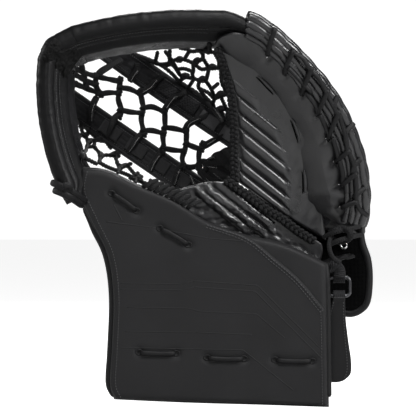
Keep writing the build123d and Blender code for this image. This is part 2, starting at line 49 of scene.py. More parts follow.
# ---------------------------------------------------------------- lines and places, in millimetres
def spline(points, count):
    """Points along a smooth line through the given ones."""
    pts = [Vector(p) for p in points]
    pts = [pts[0] * 2 - pts[1]] + pts + [pts[-1] * 2 - pts[-2]]
    spans = len(pts) - 3
    out = []
    for n in range(count):
        at = spans * n / (count - 1)
        k = min(int(at), spans - 1)
        t = at - k
        a, b, c, d = pts[k:k + 4]
        out.append(0.5 * (2 * b + (c - a) * t + (2 * a - 5 * b + 4 * c - d) * t * t
                          + (3 * b - a - 3 * c + d) * t ** 3))
    return out


def path_length(points):
    return sum((b - a).length for a, b in zip(points, points[1:]))


def even(points, count):
    """Points at equal steps along a smooth line."""
    fine = spline(points, 30 * len(points))
    run = [0.0]
    for a, b in zip(fine, fine[1:]):
        run.append(run[-1] + (b - a).length)
    out, k = [], 0
    for n in range(count):
        want = run[-1] * n / (count - 1)
        while k < len(fine) - 2 and run[k + 1] < want:
            k += 1
        t = (want - run[k]) / max(run[k + 1] - run[k], 1e-9)
        out.append(fine[k].lerp(fine[k + 1], min(max(t, 0), 1)))
    return out


def at_line(line, t):
    f = min(max(t, 0.0), 1.0) * (len(line) - 1)
    k = min(int(f), len(line) - 2)
    return line[k].lerp(line[k + 1], f - k)


def flat(points):
    """Drawn X and Z points as vectors with no depth."""
    return [Vector((x, 0, z)) for x, z in points]


def step(a, b, x):
    t = min(max((x - a) / (b - a), 0.0), 1.0)
    return t * t * (3 - 2 * t)


def rough(p, size, seed=0.0):
    """Soft noise from -1 to 1, in lumps about size across."""
    return noise.noise(Vector(p) / size + Vector((seed, seed * 1.7, -seed)))


def near(x, z, spots, size):
    """1 at any of the spots, fading out over size."""
    return max(exp(-((x - a) ** 2 + (z - b) ** 2) / (size * size)) for a, b in spots)


def from_line(x, z, line):
    """Distance from a line of points, and how far along it the nearest place is."""
    best, where = 1e9, 0.0
    for n, (a, b) in enumerate(zip(line, line[1:])):
        dx, dz = b.x - a.x, b.z - a.z
        t = min(max(((x - a.x) * dx + (z - a.z) * dz) / max(dx * dx + dz * dz, 1e-9), 0), 1)
        d = sqrt((x - a.x - t * dx) ** 2 + (z - a.z - t * dz) ** 2)
        if d < best:
            best, where = d, (n + t) / (len(line) - 1)
    return best, where


# The fold runs from the palm's heel to the rim's corner; u is along it and v across, to the finger side
HEEL = Vector((97, 0, 152))
ALONG = Vector((-249, 0, 170)).normalized()
ACROSS = Vector((ALONG.z, 0, -ALONG.x))


def fold_uv(x, z):
    d = Vector((x - HEEL.x, 0, z - HEEL.z))
    return d.dot(ALONG), d.dot(ACROSS)


def fold_spot(u, v, y=0.0):
    p = HEEL + ALONG * u + ACROSS * v
    return Vector((p.x, y, p.z))


def palm_y(x, z):
    """Depth of the palm's face: a hollow across a fold line that comes forward towards the corner."""
    u, v = fold_uv(x, z)
    w = -260.2 + sqrt(max(266.25 ** 2 - (v + 3.74) ** 2, 0))
    return -5 - 0.2554 * u + 1.0325 * w


def pocket_y(u):
    """Depth of the pocket's trough."""
    return -4.4 + sqrt(max(94.4 ** 2 - (u - 191.4) ** 2, 0))


def trough_spot(angle, v, out=0.0):
    """A place on the pocket's trough by angle in degrees, distance across and distance outwards."""
    r = 94.4 + out
    a = radians(angle)
    return fold_spot(191.4 + r * cos(a), v, -4.4 + r * sin(a))


# ---------------------------------------------------------------- mesh making
def make_piece(bm, name, material, merge=0.00002):
    if merge:
        bmesh.ops.remove_doubles(bm, verts=bm.verts, dist=merge)
    bmesh.ops.recalc_face_normals(bm, faces=bm.faces)
    mesh = bpy.data.meshes.new(name)
    bm.to_mesh(mesh)
    bm.free()
    obj = bpy.data.objects.new(name, mesh)
    bpy.context.scene.collection.objects.link(obj)
    for p in mesh.polygons:
        p.use_smooth = True
    mesh.materials.append(material)
    return obj


def lay_grid(bm, us, vs, place):
    """A grid with lines at us and vs, whose corners go where place(i, j) says, in millimetres."""
    uv = bm.loops.layers.uv.verify()
    nu, nv = len(us) - 1, len(vs) - 1
    made = bmesh.ops.create_grid(bm, x_segments=nu, y_segments=nv, size=1)["verts"]
    spot = {v: (round((v.co.x + 1) / 2 * nu), round((v.co.y + 1) / 2 * nv)) for v in made}
    for f in {f for v in made for f in v.link_faces}:
        for c in f.loops:
            i, j = spot[c.vert]
            c[uv].uv = (us[i], vs[j])
    for v, (i, j) in spot.items():
        v.co = place(i, j) * MM


def ticks(length, edge, count):
    """Grid lines from 0 to 1, closer near both ends, where the edge turns."""
    ends = [k * edge / length for k in (0, 0.02, 0.08, 0.2, 0.38, 0.62, 1.0)]
    return ends + [ends[-1] + (1 - 2 * ends[-1]) * n / count for n in range(1, count)] + [1 - k for k in ends[::-1]]


def patch(bottom, top, left, right, fine=80):
    """Places inside four lines that meet at their corners."""
    b, t, l, r = [even(s, fine) for s in (bottom, top, left, right)]

    def at(u, v):
        corners = (b[0] * (1 - u) + b[-1] * u) * (1 - v) + (t[0] * (1 - u) + t[-1] * u) * v
        return (at_line(b, u) * (1 - v) + at_line(t, u) * v + at_line(l, v) * (1 - u) + at_line(r, v) * u) - corners

    return at, (path_length(b) + path_length(t)) / 2, (path_length(l) + path_length(r)) / 2


def edge_roll(u, v, wide, tall, edge, square):
    """How full a padded piece is near its edges: 0 at them and 1 from edge inwards."""
    inner = 1.0
    for gap in (u * wide, (1 - u) * wide, v * tall, (1 - v) * tall):
        inner *= 1 - (1 - min(gap / edge, 1.0)) ** square
    return inner


def pad(name, material, lines, face, thick, edge=5.0, grid=(60, 60), square=2.2):
    """A closed padded panel. face(x, z) is the depth of its front, and both faces roll round at the edge."""
    at, wide, tall = patch(*[flat(s) for s in lines])
    us, vs = ticks(wide, edge, grid[0]), ticks(tall, edge, grid[1])

    def side(sign):
        def place(i, j):
            u, v = us[i], vs[j]
            p = at(u, v)
            roll = thick / 2 * edge_roll(u, v, wide, tall, edge, square) ** (1 / square)
            return Vector((p.x, face(p.x, p.z) + thick / 2 + sign * roll, p.z))
        return place

    bm = bmesh.new()
    lay_grid(bm, us, vs, side(-1))
    lay_grid(bm, us, vs, side(1))
    return make_piece(bm, name, material)


def bent_pad(name, material, spot, wide, tall, thick, edge=3.0, grid=(60, 20), square=2.2, bump=None):
    """A padded strip or panel on any surface. spot(u, v) gives a place and the way its front faces."""
    us, vs = ticks(wide, edge, grid[0]), ticks(tall, edge, grid[1])

    def side(sign):
        def place(i, j):
            u, v = us[i], vs[j]
            p, out = spot(u, v)
            inner = edge_roll(u, v, wide, tall, edge, square)
            roll = thick / 2 * inner ** (1 / square)
            if sign > 0 and bump:
                roll += bump(u, v) * inner
            return p + out * sign * roll
        return place

    bm = bmesh.new()
    lay_grid(bm, us, vs, side(-1))
    lay_grid(bm, us, vs, side(1))
    return make_piece(bm, name, material)


def add_tube(bm, points, width, thick, up=Vector((0, -1, 0)), around=8, square=2.0, fat=None):
    """A lace, roll or cord along points: a closed oval tube, wide across and thick along up."""
    count = len(points)
    rows = []
    for n, p in enumerate(points):
        t = (points[min(n + 1, count - 1)] - points[max(n - 1, 0)]).normalized()
        w = up(p) if callable(up) else up
        s = t.cross(w)
        s = (t.orthogonal() if s.length < 1e-4 else s).normalized()
        rows.append((p, s, s.cross(t).normalized()))
    us = [0.0]
    for a, b in zip(points, points[1:]):
        us.append(us[-1] + (b - a).length / 10)
    ends = [0] + list(range(count)) + [count - 1]
    us = [us[k] for k in ends]

    def place(i, j):
        p, s, w = rows[ends[i]]
        if i in (0, count + 1):
            return p
        a = 2 * pi * (j % around) / around
        c, d = cos(a), sin(a)
        r = (abs(c) ** square + abs(d) ** square) ** (-1 / square)
        if fat:
            r *= fat(us[i] * 10)
        if i in (1, count):
            r *= 0.75
        return p + s * (c * r * width / 2) + w * (d * r * thick / 2)

    lay_grid(bm, us, [n / around for n in range(around + 1)], place)


def tubes(name, material, lines, width, thick, up=Vector((0, -1, 0)), around=8, square=2.0, fat=None):
    bm = bmesh.new()
    for points in lines:
        add_tube(bm, points, width, thick, up, around, square, fat)
    return make_piece(bm, name, material)


def stitches(name, material, lines, pitch=3.0, long=2.1, wide=0.75):
    """A row of thread stitches along each line."""
    bm = bmesh.new()
    for line in lines:
        count = max(2, int(path_length(line) / pitch))
        spots = even(line, 2 * count + 1)
        for n in range(count):
            a, b = spots[2 * n], spots[2 * n + 1]
            run = (b - a).normalized()
            side = run.cross(Vector((0, -1, 0))).normalized()
            turn = Matrix((run, side, side.cross(run))).transposed().to_4x4()
            size = Matrix.Diagonal((long / 2 * MM, wide / 2 * MM, wide / 2 * MM, 1))
            place = Matrix.Translation((a + b) / 2 * MM) @ turn @ size
            bmesh.ops.create_uvsphere(bm, u_segments=6, v_segments=4, radius=1, matrix=place)
    return make_piece(bm, name, material, merge=0)


def spot_line(spot, v, lift, count, margin):
    """A line along a bent piece at one share of its height, lifted off its face and a little short at each end."""
    line = []
    for n in range(count + 1):
        p, out = spot(margin + (1 - 2 * margin) * n / count, v)
        line.append(p + out * lift)
    return line


def on_face(points, face, lift=0.0, count=60):
    """A drawn line laid on a face, lifted a little off it."""
    return [Vector((p.x, face(p.x, p.z) - lift, p.z)) for p in even(flat(points), count)]


def place_on(obj, body, *nodes):
    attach(obj, body)
    if nodes:
        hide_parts(*nodes)
    return obj


# ---------------------------------------------------------------- materials
def new_group(name, ins, outs):
    g = bpy.data.node_groups.new(name, "ShaderNodeTree")
    for label, kind, value in ins:
        s = g.interface.new_socket(label, in_out="INPUT", socket_type=kind)
        s.default_value = value
    for label, kind in outs:
        g.interface.new_socket(label, in_out="OUTPUT", socket_type=kind)
    return g, g.nodes.new("NodeGroupInput"), g.nodes.new("NodeGroupOutput")


def node(tree, kind, **values):
    n = tree.nodes.new("ShaderNode" + kind)
    for key, value in values.items():
        if key in n.inputs:
            n.inputs[key].default_value = value
        else:
            setattr(n, key, value)
    return n


def join(tree, a, out, b, into):
    tree.links.new(a.outputs[out], b.inputs[into])


def hide_group():
    """Fine grain, soft creases and worn sheen of black leather."""
    g, i, o = new_group("leather hide", [("Grain", "NodeSocketFloat", 0.35), ("Crease", "NodeSocketFloat", 0.3),
                                         ("Sheen", "NodeSocketFloat", 0.42)],
                        [("Normal", "NodeSocketVector"), ("Roughness", "NodeSocketFloat"),
                        ("Shade", "NodeSocketFloat")])
    at = node(g, "TexCoord")
    pores = node(g, "TexVoronoi", feature="DISTANCE_TO_EDGE", Scale=900.0)
    lumps = node(g, "TexNoise", Scale=420.0, Detail=3.0)
    folds = node(g, "TexNoise", Scale=38.0, Detail=5.0, Roughness=0.62, Distortion=0.6)
    wear = node(g, "TexNoise", Scale=24.0, Detail=4.0)
    for n in (pores, lumps, folds, wear):
        join(g, at, "Object", n, "Vector")
    edge = node(g, "MapRange")
    edge.inputs["From Max"].default_value = 0.06
    join(g, pores, "Distance", edge, "Value")
    both = node(g, "Math", operation="ADD")
    join(g, edge, "Result", both, 0)
    join(g, lumps, "Fac", both, 1)
    fine = node(g, "Bump", Distance=0.00012)
    join(g, i, "Grain", fine, "Strength")
    join(g, both, "Value", fine, "Height")
    soft = node(g, "Bump", Distance=0.0022)
    join(g, i, "Crease", soft, "Strength")
    join(g, folds, "Fac", soft, "Height")
    join(g, fine, "Normal", soft, "Normal")
    join(g, soft, "Normal", o, "Normal")
    sheen = node(g, "MapRange")
    join(g, wear, "Fac", sheen, "Value")
    sheen.inputs["From Min"].default_value = 0.3
    sheen.inputs["From Max"].default_value = 0.7
    low = node(g, "Math", operation="SUBTRACT")
    low.inputs[1].default_value = 0.07
    high = node(g, "Math", operation="ADD")
    high.inputs[1].default_value = 0.09
    join(g, i, "Sheen", low, 0)
    join(g, i, "Sheen", high, 0)
    join(g, low, "Value", sheen, "To Min")
    join(g, high, "Value", sheen, "To Max")
    join(g, sheen, "Result", o, "Roughness")
    join(g, wear, "Fac", o, "Shade")
    return g


def weave_group():
    """Over and under of woven thread, along a lace or webbing strip."""
    g, i, o = new_group("woven thread", [("Fineness", "NodeSocketFloat", 10.0), ("Depth", "NodeSocketFloat", 0.5)],
                        [("Normal", "NodeSocketVector"), ("Mask", "NodeSocketFloat"), ("Fleck", "NodeSocketFloat")])
    at = node(g, "UVMap")
    size = node(g, "VectorMath", operation="SCALE")
    join(g, at, "UV", size, 0)
    join(g, i, "Fineness", size, "Scale")
    split = node(g, "SeparateXYZ")
    join(g, size, "Vector", split, 0)
    waves = []
    for sign in (1, -1):
        mix = node(g, "Math", operation="MULTIPLY_ADD")
        join(g, split, "Y", mix, 0)
        mix.inputs[1].default_value = 0.5 * sign
        join(g, split, "X", mix, 2)
        turn = node(g, "Math", operation="MULTIPLY")
        turn.inputs[1].default_value = 6.2832
        join(g, mix, "Value", turn, 0)
        wave = node(g, "Math", operation="SINE")
        join(g, turn, "Value", wave, 0)
        waves.append(wave)
    top = node(g, "Math", operation="MAXIMUM")
    join(g, waves[0], "Value", top, 0)
    join(g, waves[1], "Value", top, 1)
    bump = node(g, "Bump", Distance=0.0004)
    join(g, i, "Depth", bump, "Strength")
    join(g, top, "Value", bump, "Height")
    join(g, bump, "Normal", o, "Normal")
    join(g, top, "Value", o, "Mask")
    both = node(g, "Math", operation="MULTIPLY")
    join(g, waves[0], "Value", both, 0)
    join(g, waves[1], "Value", both, 1)
    fleck = node(g, "Math", operation="GREATER_THAN")
    fleck.inputs[1].default_value = 0.8
    join(g, both, "Value", fleck, 0)
    join(g, fleck, "Value", o, "Fleck")
    return g


HIDE, WEAVE = hide_group(), weave_group()


def shader(name, colour, rough_value=0.5, metallic=0.0, specular=0.5):
    m = bpy.data.materials.new(name)
    m.use_nodes = True
    p = m.node_tree.nodes["Principled BSDF"]
    p.inputs["Base Color"].default_value = (*colour, 1)
    p.inputs["Roughness"].default_value = rough_value
    p.inputs["Metallic"].default_value = metallic
    p.inputs["Specular IOR Level"].default_value = specular
    return m, m.node_tree, p


def leather(name, colour, grain=0.35, crease=0.3, sheen=0.42, specular=0.5):
    m, t, p = shader(name, colour, sheen, 0.0, specular)
    g = node(t, "Group", node_tree=HIDE)
    g.inputs["Grain"].default_value = grain
    g.inputs["Crease"].default_value = crease
    g.inputs["Sheen"].default_value = sheen
    tone = node(t, "MixRGB")
    tone.inputs[1].default_value = (*[c * 0.75 for c in colour], 1)
    tone.inputs[2].default_value = (*[c * 1.35 for c in colour], 1)
    join(t, g, "Shade", tone, 0)
    join(t, tone, 0, p, "Base Color")
    join(t, g, "Roughness", p, "Roughness")
    join(t, g, "Normal", p, "Normal")
    return m


def woven(name, colour, fineness=8.0, depth=0.5, flecks=None, rough_value=0.7):
    m, t, p = shader(name, colour, rough_value, 0.0, 0.2)
    g = node(t, "Group", node_tree=WEAVE)
    g.inputs["Fineness"].default_value = fineness
    g.inputs["Depth"].default_value = depth
    tone = node(t, "MixRGB")
    tone.inputs[1].default_value = (*colour, 1)
    tone.inputs[2].default_value = (*(flecks or [c * 1.6 for c in colour]), 1)
    join(t, g, "Fleck", tone, 0)
    join(t, tone, 0, p, "Base Color")
    join(t, g, "Normal", p, "Normal")
    return m


def dotted(name, colour):
    """Knitted mesh with small round pits."""
    m, t, p = shader(name, colour, 0.9, 0.0, 0.05)
    at = node(t, "TexCoord")
    pits = node(t, "TexVoronoi", Scale=260.0, Randomness=0.25)
    join(t, at, "Object", pits, "Vector")
    bump = node(t, "Bump", Strength=0.8, Distance=0.0012)
    join(t, pits, "Distance", bump, "Height")
    bump.invert = True
    join(t, bump, "Normal", p, "Normal")
    return m


BLACK = (0.0105, 0.0105, 0.0115)
BOARD_LEATHER = leather("board leather", (0.0125, 0.0125, 0.0132), grain=0.55, crease=0.1, sheen=0.52, specular=0.2)
PALM_LEATHER = leather("palm leather", BLACK, grain=0.25, crease=0.4, sheen=0.29, specular=0.7)
PAD_LEATHER = leather("pad leather", (0.0125, 0.0125, 0.0135), grain=0.3, crease=0.3, sheen=0.35, specular=0.65)
# The rim's base colour is darker than the palm's black leather: painted shade, for a rim that faces away from the
# light.
RIM_LEATHER_WITH_PAINTED_SHADE = leather("rim leather with painted shade", (0.0068, 0.0068, 0.0072), grain=0.3, crease=0.2, sheen=0.4, specular=0.14)
# Darkest leather, for the crumpled patch in the rim's inner corner: partly the suede's own dark colour, partly painted
# shade of the corner.
SUEDE_WITH_PAINTED_SHADE = leather("crumpled hide with painted corner shade", (0.005, 0.005, 0.005), grain=0.9, crease=1.0, sheen=0.7, specular=0.12)
STRAP_LEATHER = leather("strap leather", (0.007, 0.007, 0.0075), grain=0.4, crease=0.15, sheen=0.48, specular=0.2)
LACE = woven("black lace", (0.008, 0.008, 0.0085), fineness=5.0, depth=0.6)
FLECKED = woven("flecked lace", (0.008, 0.008, 0.0085), fineness=4.0, depth=0.6, flecks=(0.75, 0.75, 0.75))
WEBBING = woven("webbing", (0.011, 0.011, 0.012), fineness=6.0, depth=0.7)
BLOCK = woven("light webbing block", (0.05, 0.05, 0.052), fineness=14.0, depth=0.5)
DARK_BLOCK = woven("dark webbing block", (0.02, 0.02, 0.021), fineness=14.0, depth=0.5)
LINING = woven("inner lining", (0.016, 0.016, 0.018), fineness=30.0, depth=0.4, rough_value=0.9)
MESH = dotted("knitted mesh", (0.0015, 0.0015, 0.0016))
SLIT = shader("slit shadow", (0.002, 0.002, 0.002), 0.95, 0.0, 0.05)[0]
THREAD = shader("black thread", (0.05, 0.05, 0.052), 0.55)[0]
STEEL = shader("dark steel ring", (0.09, 0.09, 0.095), 0.32, 1.0)[0]
# Bright metal: the backhand's real eyelet, and also the painted glints at the finger pad's lace holes.
NICKEL_FOR_EYELET_AND_GLINTS = shader("bright eyelet and painted glint", (0.75, 0.75, 0.75), 0.25, 1.0)[0]

# ---------------------------------------------------------------- cuff and thumb board
LEFT = [(-96, 9), (-101.5, 24), (-100, 56), (-98.5, 104), (-104, 141), (-118, 170), (-131, 200), (-127, 222)]
TOP = [(-127, 222), (-104, 220), (-74, 206), (-45, 194), (-12, 173), (22, 161), (60, 152), (99, 134)]
FOOT = [(-96, 9), (-30, 6), (40, 4), (101, 2)]
RIGHT = [(101, 2), (100.5, 50), (100, 95), (99, 134)]
PANEL_LEFT = [(-94.5, 10), (-99.5, 24), (-98, 56), (-96.5, 104), (-101.5, 141), (-115, 170), (-127.5, 199), (-125, 220)]
PANEL_TOP = [(-125, 220), (-104, 218.5), (-74, 205), (-42, 191.5), (-10, 171.5), (26, 158.5), (51, 139), (74, 119),
    (97.5, 91)]
PANEL_FOOT = [(-94.5, 10), (-30, 8), (40, 6), (99, 4)]
PANEL_RIGHT = [(99, 4), (98.5, 40), (98, 70), (97.5, 91)]
CUFF_HOLES = [(-73, 53), (-39, 52), (-11, 48), (23, 47), (51, 46), (85, 45)]
THUMB_HOLES = [(-98, 198), (-75, 182), (-54, 166), (-28, 151)]
HOLES = CUFF_HOLES + THUMB_HOLES
BOARD_FRONT, PANEL_FRONT = -57, -60.3


def lace_crease(x, z, holes):
    """Pull of a lace run on the leather: a pucker round each hole and a crease between them."""
    deep = 0.0
    for (a, b), (c, d) in zip(holes[::2], holes[1::2]):
        gap, _ = from_line(x, z, [Vector((a, 0, b)), Vector((c, 0, d))])
        deep += 0.8 * exp(-(gap / 4.5) ** 2)
    return deep + 1.5 * near(x, z, holes, 4.0)


def board_swell(x, z):
    """Slow swell of the board, with a soft ridge across the root of the thumb."""
    return 0.9 * rough((x, 0, z), 60, 3) - 1.2 * exp(-((z - 178 + x * 0.42) / 26) ** 2)


def board_front(x, z):
    return BOARD_FRONT + board_swell(x, z)


def panel_front(x, z):
    return PANEL_FRONT + board_swell(x, z) * 0.8 + lace_crease(x, z, CUFF_HOLES) + lace_crease(x, z, THUMB_HOLES)


board = pad("cuff_board", BOARD_LEATHER, (FOOT, TOP, LEFT, RIGHT), board_front, 17.5, edge=6.5, grid=(80, 90))
place_on(board, "cuff", "cuff_cover", "cuff_foam", "cuff_plate", "thumb_plate")
PRESSED_LINES = [[(-90, 116), (-34, 115), (-24, 118), (35, 114), (95, 54)],
    [(-90, 110.5), (-33, 109.5), (-23, 112.5), (33, 108.5), (94, 47)],
                 [(-84, 94), (-28, 93), (-16, 90), (34, 88), (60, 66)], [(-90, 57), (22, 55), (68, 18)],
                 [(-86, 72), (-20, 71), (30, 69)],
                 [(-103, 172), (-62, 167), (-10, 157), (26, 154)], [(-96, 188), (-88, 172)]]
panel = pad("cuff_front_panel", BOARD_LEATHER, (PANEL_FOOT, PANEL_TOP, PANEL_LEFT, PANEL_RIGHT), panel_front, 8,
            edge=4.0, grid=(150, 150))
place_on(panel, "cuff", "cuff_overlay")
ridges = []
for line in PRESSED_LINES:
    for (ax, az), (bx, bz) in zip(line, line[1:]):
        count = max(6, int(sqrt((bx - ax) ** 2 + (bz - az) ** 2) / 2))
        spots = [(ax + (bx - ax) * n / count, az + (bz - az) * n / count) for n in range(count + 1)]
        ridges.append([Vector((x, panel_front(x, z) + 0.12, z)) for x, z in spots])
place_on(tubes("panel_pressed_lines", BOARD_LEATHER, ridges, 1.1, 0.7, around=8), "cuff")


def inside(line, gap):
    """A drawn line moved to its right-hand side, in the plane of the board."""
    out = []
    for n, (x, z) in enumerate(line):
        a, b = line[max(n - 1, 0)], line[min(n + 1, len(line) - 1)]
        t = Vector((b[0] - a[0], b[1] - a[1])).normalized()
        out.append((x + t.y * gap, z - t.x * gap))
    return out


sewn = [on_face(inside(PANEL_TOP[4:], 2.4), panel_front, 0.35, 140),
    on_face(inside(PANEL_TOP[4:], 4.8), panel_front, 0.35, 140)]
place_on(stitches("panel_seam_stitches", THREAD, sewn), "cuff")
sides_sewn = [on_face(inside(PANEL_LEFT, 5.2), panel_front, 0.3, 140),
              on_face(inside(PANEL_RIGHT[::-1], 4.6), panel_front, 0.3, 80)]
place_on(stitches("panel_side_stitches", THREAD, sides_sewn, pitch=2.6, long=1.8), "cuff")

for side, line in (("left", inside(LEFT[:7], 1.0)), ("right", inside(RIGHT[::-1], 1.0))):
    strip = [Vector((x, -49, z)) for x, _, z in even(flat(line), 70)]
    strip = [p for p in strip if 11 < p.z < 186]
    roll = tubes("cuff_edge_binding_" + side, STRAP_LEATHER, [strip], 12, 7,
        up=Vector((-1 if side == "left" else 1, 0, 0)),
                 around=14, square=2.8, fat=lambda run: 0.7 + 0.3 * step(0, 14, run) * step(168, 150, run))
    place_on(roll, "cuff", "cuff_binding_" + side)


def lace_run(a, b, face):
    """A lace that comes up at one hole, lies on the front and goes down at the other."""
    (x0, z0), (x1, z1) = a, b
    line = []
    for n in range(29):
        t = n / 28
        x, z = x0 + (x1 - x0) * t, z0 + (z1 - z0) * t
        rise = min(t, 1 - t) * 28
        lift = 2.2 * step(0, 3.2, rise) - 4.5 * (1 - step(0, 1.6, rise))
        sag = 0.8 * sin(t * pi) * (1 if z1 > z0 - 4 else -1)
        line.append(Vector((x, face(x, z) - lift - 0.3 * sin(t * 9), z - sag)))
    return line


runs = [lace_run(a, b, panel_front) for a, b in zip(HOLES[::2], HOLES[1::2])]
place_on(tubes("board_lace_runs", STRAP_LEATHER, runs, 4.0, 2.0, around=10, square=2.6), "cuff", "cuff_laces",
    "thumb_laces")
rings = []
for x, z in HOLES:
    y = panel_front(x, z) - 0.9
    rings.append([Vector((x + 2.9 * cos(a * pi / 8), y, z + 2.4 * sin(a * pi / 8))) for a in range(17)])
place_on(tubes("lace_hole_rims", STRAP_LEATHER, rings, 1.5, 1.3, around=8), "cuff", "lace_eyelets")
back = pad("cuff_back_lining", LINING, (inside(FOOT, -3), inside(TOP, 3), inside(LEFT, 3),
    inside(RIGHT[::-1], 3)[::-1]),
           lambda x, z: -42.6, 3.2, edge=2.5, grid=(40, 40))
place_on(back, "cuff", "cuff_lining")

# ---------------------------------------------------------------- palm
PALM_EDGE = [(1, 330), (10, 305), (15, 280), (17, 255), (17, 235), (18, 205)]
PAD_IN = [(-4, 332), (16, 317), (33, 305), (50, 288), (61, 270), (70, 255), (74, 240), (75, 224), (78, 198),
    (89, 182), (112, 169)]
PAD_OUT = [(-4, 332), (12, 343), (30, 336), (62, 309), (92, 272), (112, 229), (118, 190), (112, 169)]
RIBS = [(241.5, 4.2, 2.4, 12, 36), (231, 5.6, 4.0, 16, 58), (220, 5.0, 3.6, 17, 63), (209.5, 5.4, 5.0, 19, 67),
        (198.5, 5.4, 4.6, 19, 67), (188.5, 4.4, 4.0, 18, 66), (180, 3.9, 3.4, 18, 64), (172.5, 3.4, 2.6, 19, 52)]
LOW_RIBS = [(162, 4.8, 3.2, -6, 52), (152.5, 4.0, 2.6, -14, 44), (144.5, 3.6, 2.4, -22, 26)]


def rib_height(x, z, ribs):
    """Height of the quilted ribs, which all run down to the right at one slope."""
    s = x * 0.62 + z * 0.785
    high = 0.0
    for middle, half, tall, left, right in ribs:
        t = abs(s - middle) / half
        if t < 1:
            high = max(high, tall * sqrt(1 - t * t) * step(left - 2, left + 5,
                x) * (1 - step(right - 7, right + 1.5, x)) ** 0.7)
    return high


def palm_face(x, z):
    crumple = 0.5 * rough((x, 0, z), 9, 2) + 0.9 * rough((x * 0.6 + z, 0, z * 0.6 - x), 16, 5)
    fold_away = 1.4 * rough((x * 0.5 + z * 0.5, 0, z * 0.5 - x * 0.8), 7, 12) * step(60, 70, x)
    return palm_y(x, z) - rib_height(x, z, RIBS) + crumple * 0.6 + fold_away


quilt = pad("quilted_palm", PALM_LEATHER, ([(17.5, 209), (40, 193), (68, 174), (101, 154)],
    [(-3, 331), (16, 322), (34, 311), (46, 303)],
                                        [(17.5, 209), (17, 240), (15, 280), (9, 307), (-3, 331)],
                                        [(101, 154), (97, 182), (89, 200), (85, 226), (78, 260), (58, 291), (46, 303)]),
            palm_face, 9, edge=3.0, grid=(110, 210))
place_on(quilt, "fingers", "palm_upper", "palm_foam")


def rib_line(s, left, right):
    return [(x, (s - x * 0.62) / 0.785) for x in [left + (right - left) * n / 5 for n in range(6)]]


grooves = []
for middle, half, tall, left, right in RIBS[1:]:
    for s in (middle - half - 0.3, middle + half + 0.3):
        grooves.append(on_face(rib_line(s, left + 1, right - 1), palm_face, 0.25, 70))
ends = []
for middle, half, tall, left, right in RIBS[1:]:
    low, high = rib_line(middle - half, right + 1, right + 1)[0], rib_line(middle + half, right + 1, right + 1)[0]
    ends.append(on_face([low, ((low[0] + high[0]) / 2, (low[1] + high[1]) / 2), high], palm_face, 0.25, 12))
place_on(stitches("palm_rib_stitches", THREAD, grooves + ends, pitch=2.3, long=1.5, wide=0.6), "fingers")


def low_palm_face(x, z):
    u, v = fold_uv(x, z)
    deep = -5 - 0.2554 * u + 1.0325 * 5
    crumple = 1.3 * rough((x * 0.7 + z * 0.4, 0, z), 8, 1) + 0.9 * rough((x, 0, z), 4, 6)
    return deep - rib_height(x, z, LOW_RIBS) + crumple * step(-6, -22, v) - 1.5 * step(-8, -26, v)


heel = pad("palm_heel", PALM_LEATHER, ([(-56, 196), (-22, 172), (30, 152), (95, 132)],
    [(14, 207), (40, 190), (66, 172), (97, 151)],
                                     [(-56, 196), (-34, 203), (-8, 209), (14, 207)],
                                     [(95, 132), (97, 139), (98, 145), (97, 151)]),
           low_palm_face, 7, edge=3.0, grid=(130, 60))
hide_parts("palm_lower", "heel_gusset")
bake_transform(heel)
low_grooves = []
for middle, half, tall, left, right in LOW_RIBS:
    low_grooves.append(on_face(rib_line(middle + half + 0.2, left + 1, right - 1), low_palm_face, 0.25, 60))
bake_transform(stitches("palm_heel_stitches", THREAD, low_grooves, pitch=2.3, long=1.5, wide=0.6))

# ---------------------------------------------------------------- finger pad, edge rolls and their laces
PAD_HOLES = [(44, 322), (60, 306.5), (75, 289), (89, 270.5), (99.5, 249), (107.5, 228), (112.5, 206.5), (113.5, 185.5)]


def pad_face(x, z):
    pucker = 3.4 * near(x, z, PAD_HOLES, 4.4) + 1.2 * near(x, z, PAD_HOLES, 9)
    folds = 0.0
    for a, b in PAD_HOLES:
        dx, dz = x - a, z - b
        r = sqrt(dx * dx + dz * dz)
        folds += 0.8 * exp(-(r / 9) ** 2) * sin(7 * (dx * 0.6 + dz) / (r + 2.5))
    in_gap, _ = from_line(x, z, PAD_IN_LINE)
    out_gap, _ = from_line(x, z, PAD_OUT_LINE)
    crown = 8.6 * step(-3, 27, in_gap) + 1.5 * min(out_gap / 14, 1) - 2.6
    slack = 1.3 * rough((x, 0, z), 24, 8) + 0.5 * rough((x, 0, z), 11, 9)
    return palm_y(x, z) - 1.5 - crown + pucker + folds * 0.7 + slack


PAD_IN_LINE, PAD_OUT_LINE = even(flat(PAD_IN), 40), even(flat(PAD_OUT), 40)
finger = pad("finger_pad_leather", PAD_LEATHER,
             ([(112, 168), (114, 168), (117, 169), (119, 170)], [(-5, 331), (-4, 334), (-2, 338), (2, 341)],
              PAD_IN[::-1], [(119, 170), (121, 190), (115, 230), (95, 274), (64, 312), (32, 338), (14, 344), (2, 341)]),
             pad_face, 9, edge=4.5, grid=(70, 230))
place_on(finger, "fingers", "finger_pad")
SLITS = [[(34, 304.5), (41, 298), (50, 288.5)], [(66, 265.5), (70, 256), (73.5, 244.5)],
    [(77.5, 218.5), (78.5, 208), (78.5, 198)]]


def seen_face(x, z):
    return min(pad_face(x, z), palm_face(x, z) + 0.6)


# Thin near-black tubes along the slits are painted shadow for the dark inside of each cut; the lips beside them are
# real leather rolls.
cuts = [on_face(line, seen_face, 0.5, 30) for line in SLITS]
lips = [[p + Vector((2.0, -0.2, 0.9)) for p in cut] for cut in cuts]
place_on(tubes("palm_slit_painted_shadows", SLIT, cuts, 1.7, 1.2, around=8,
    fat=lambda run: 0.35 + 0.65 * sin(min(run / 24, 1) * pi)), "fingers")
place_on(tubes("palm_slit_lips", PAD_LEATHER, lips, 3.6, 2.4, around=10,
    fat=lambda run: 0.3 + 0.7 * sin(min(run / 24, 1) * pi)), "fingers")


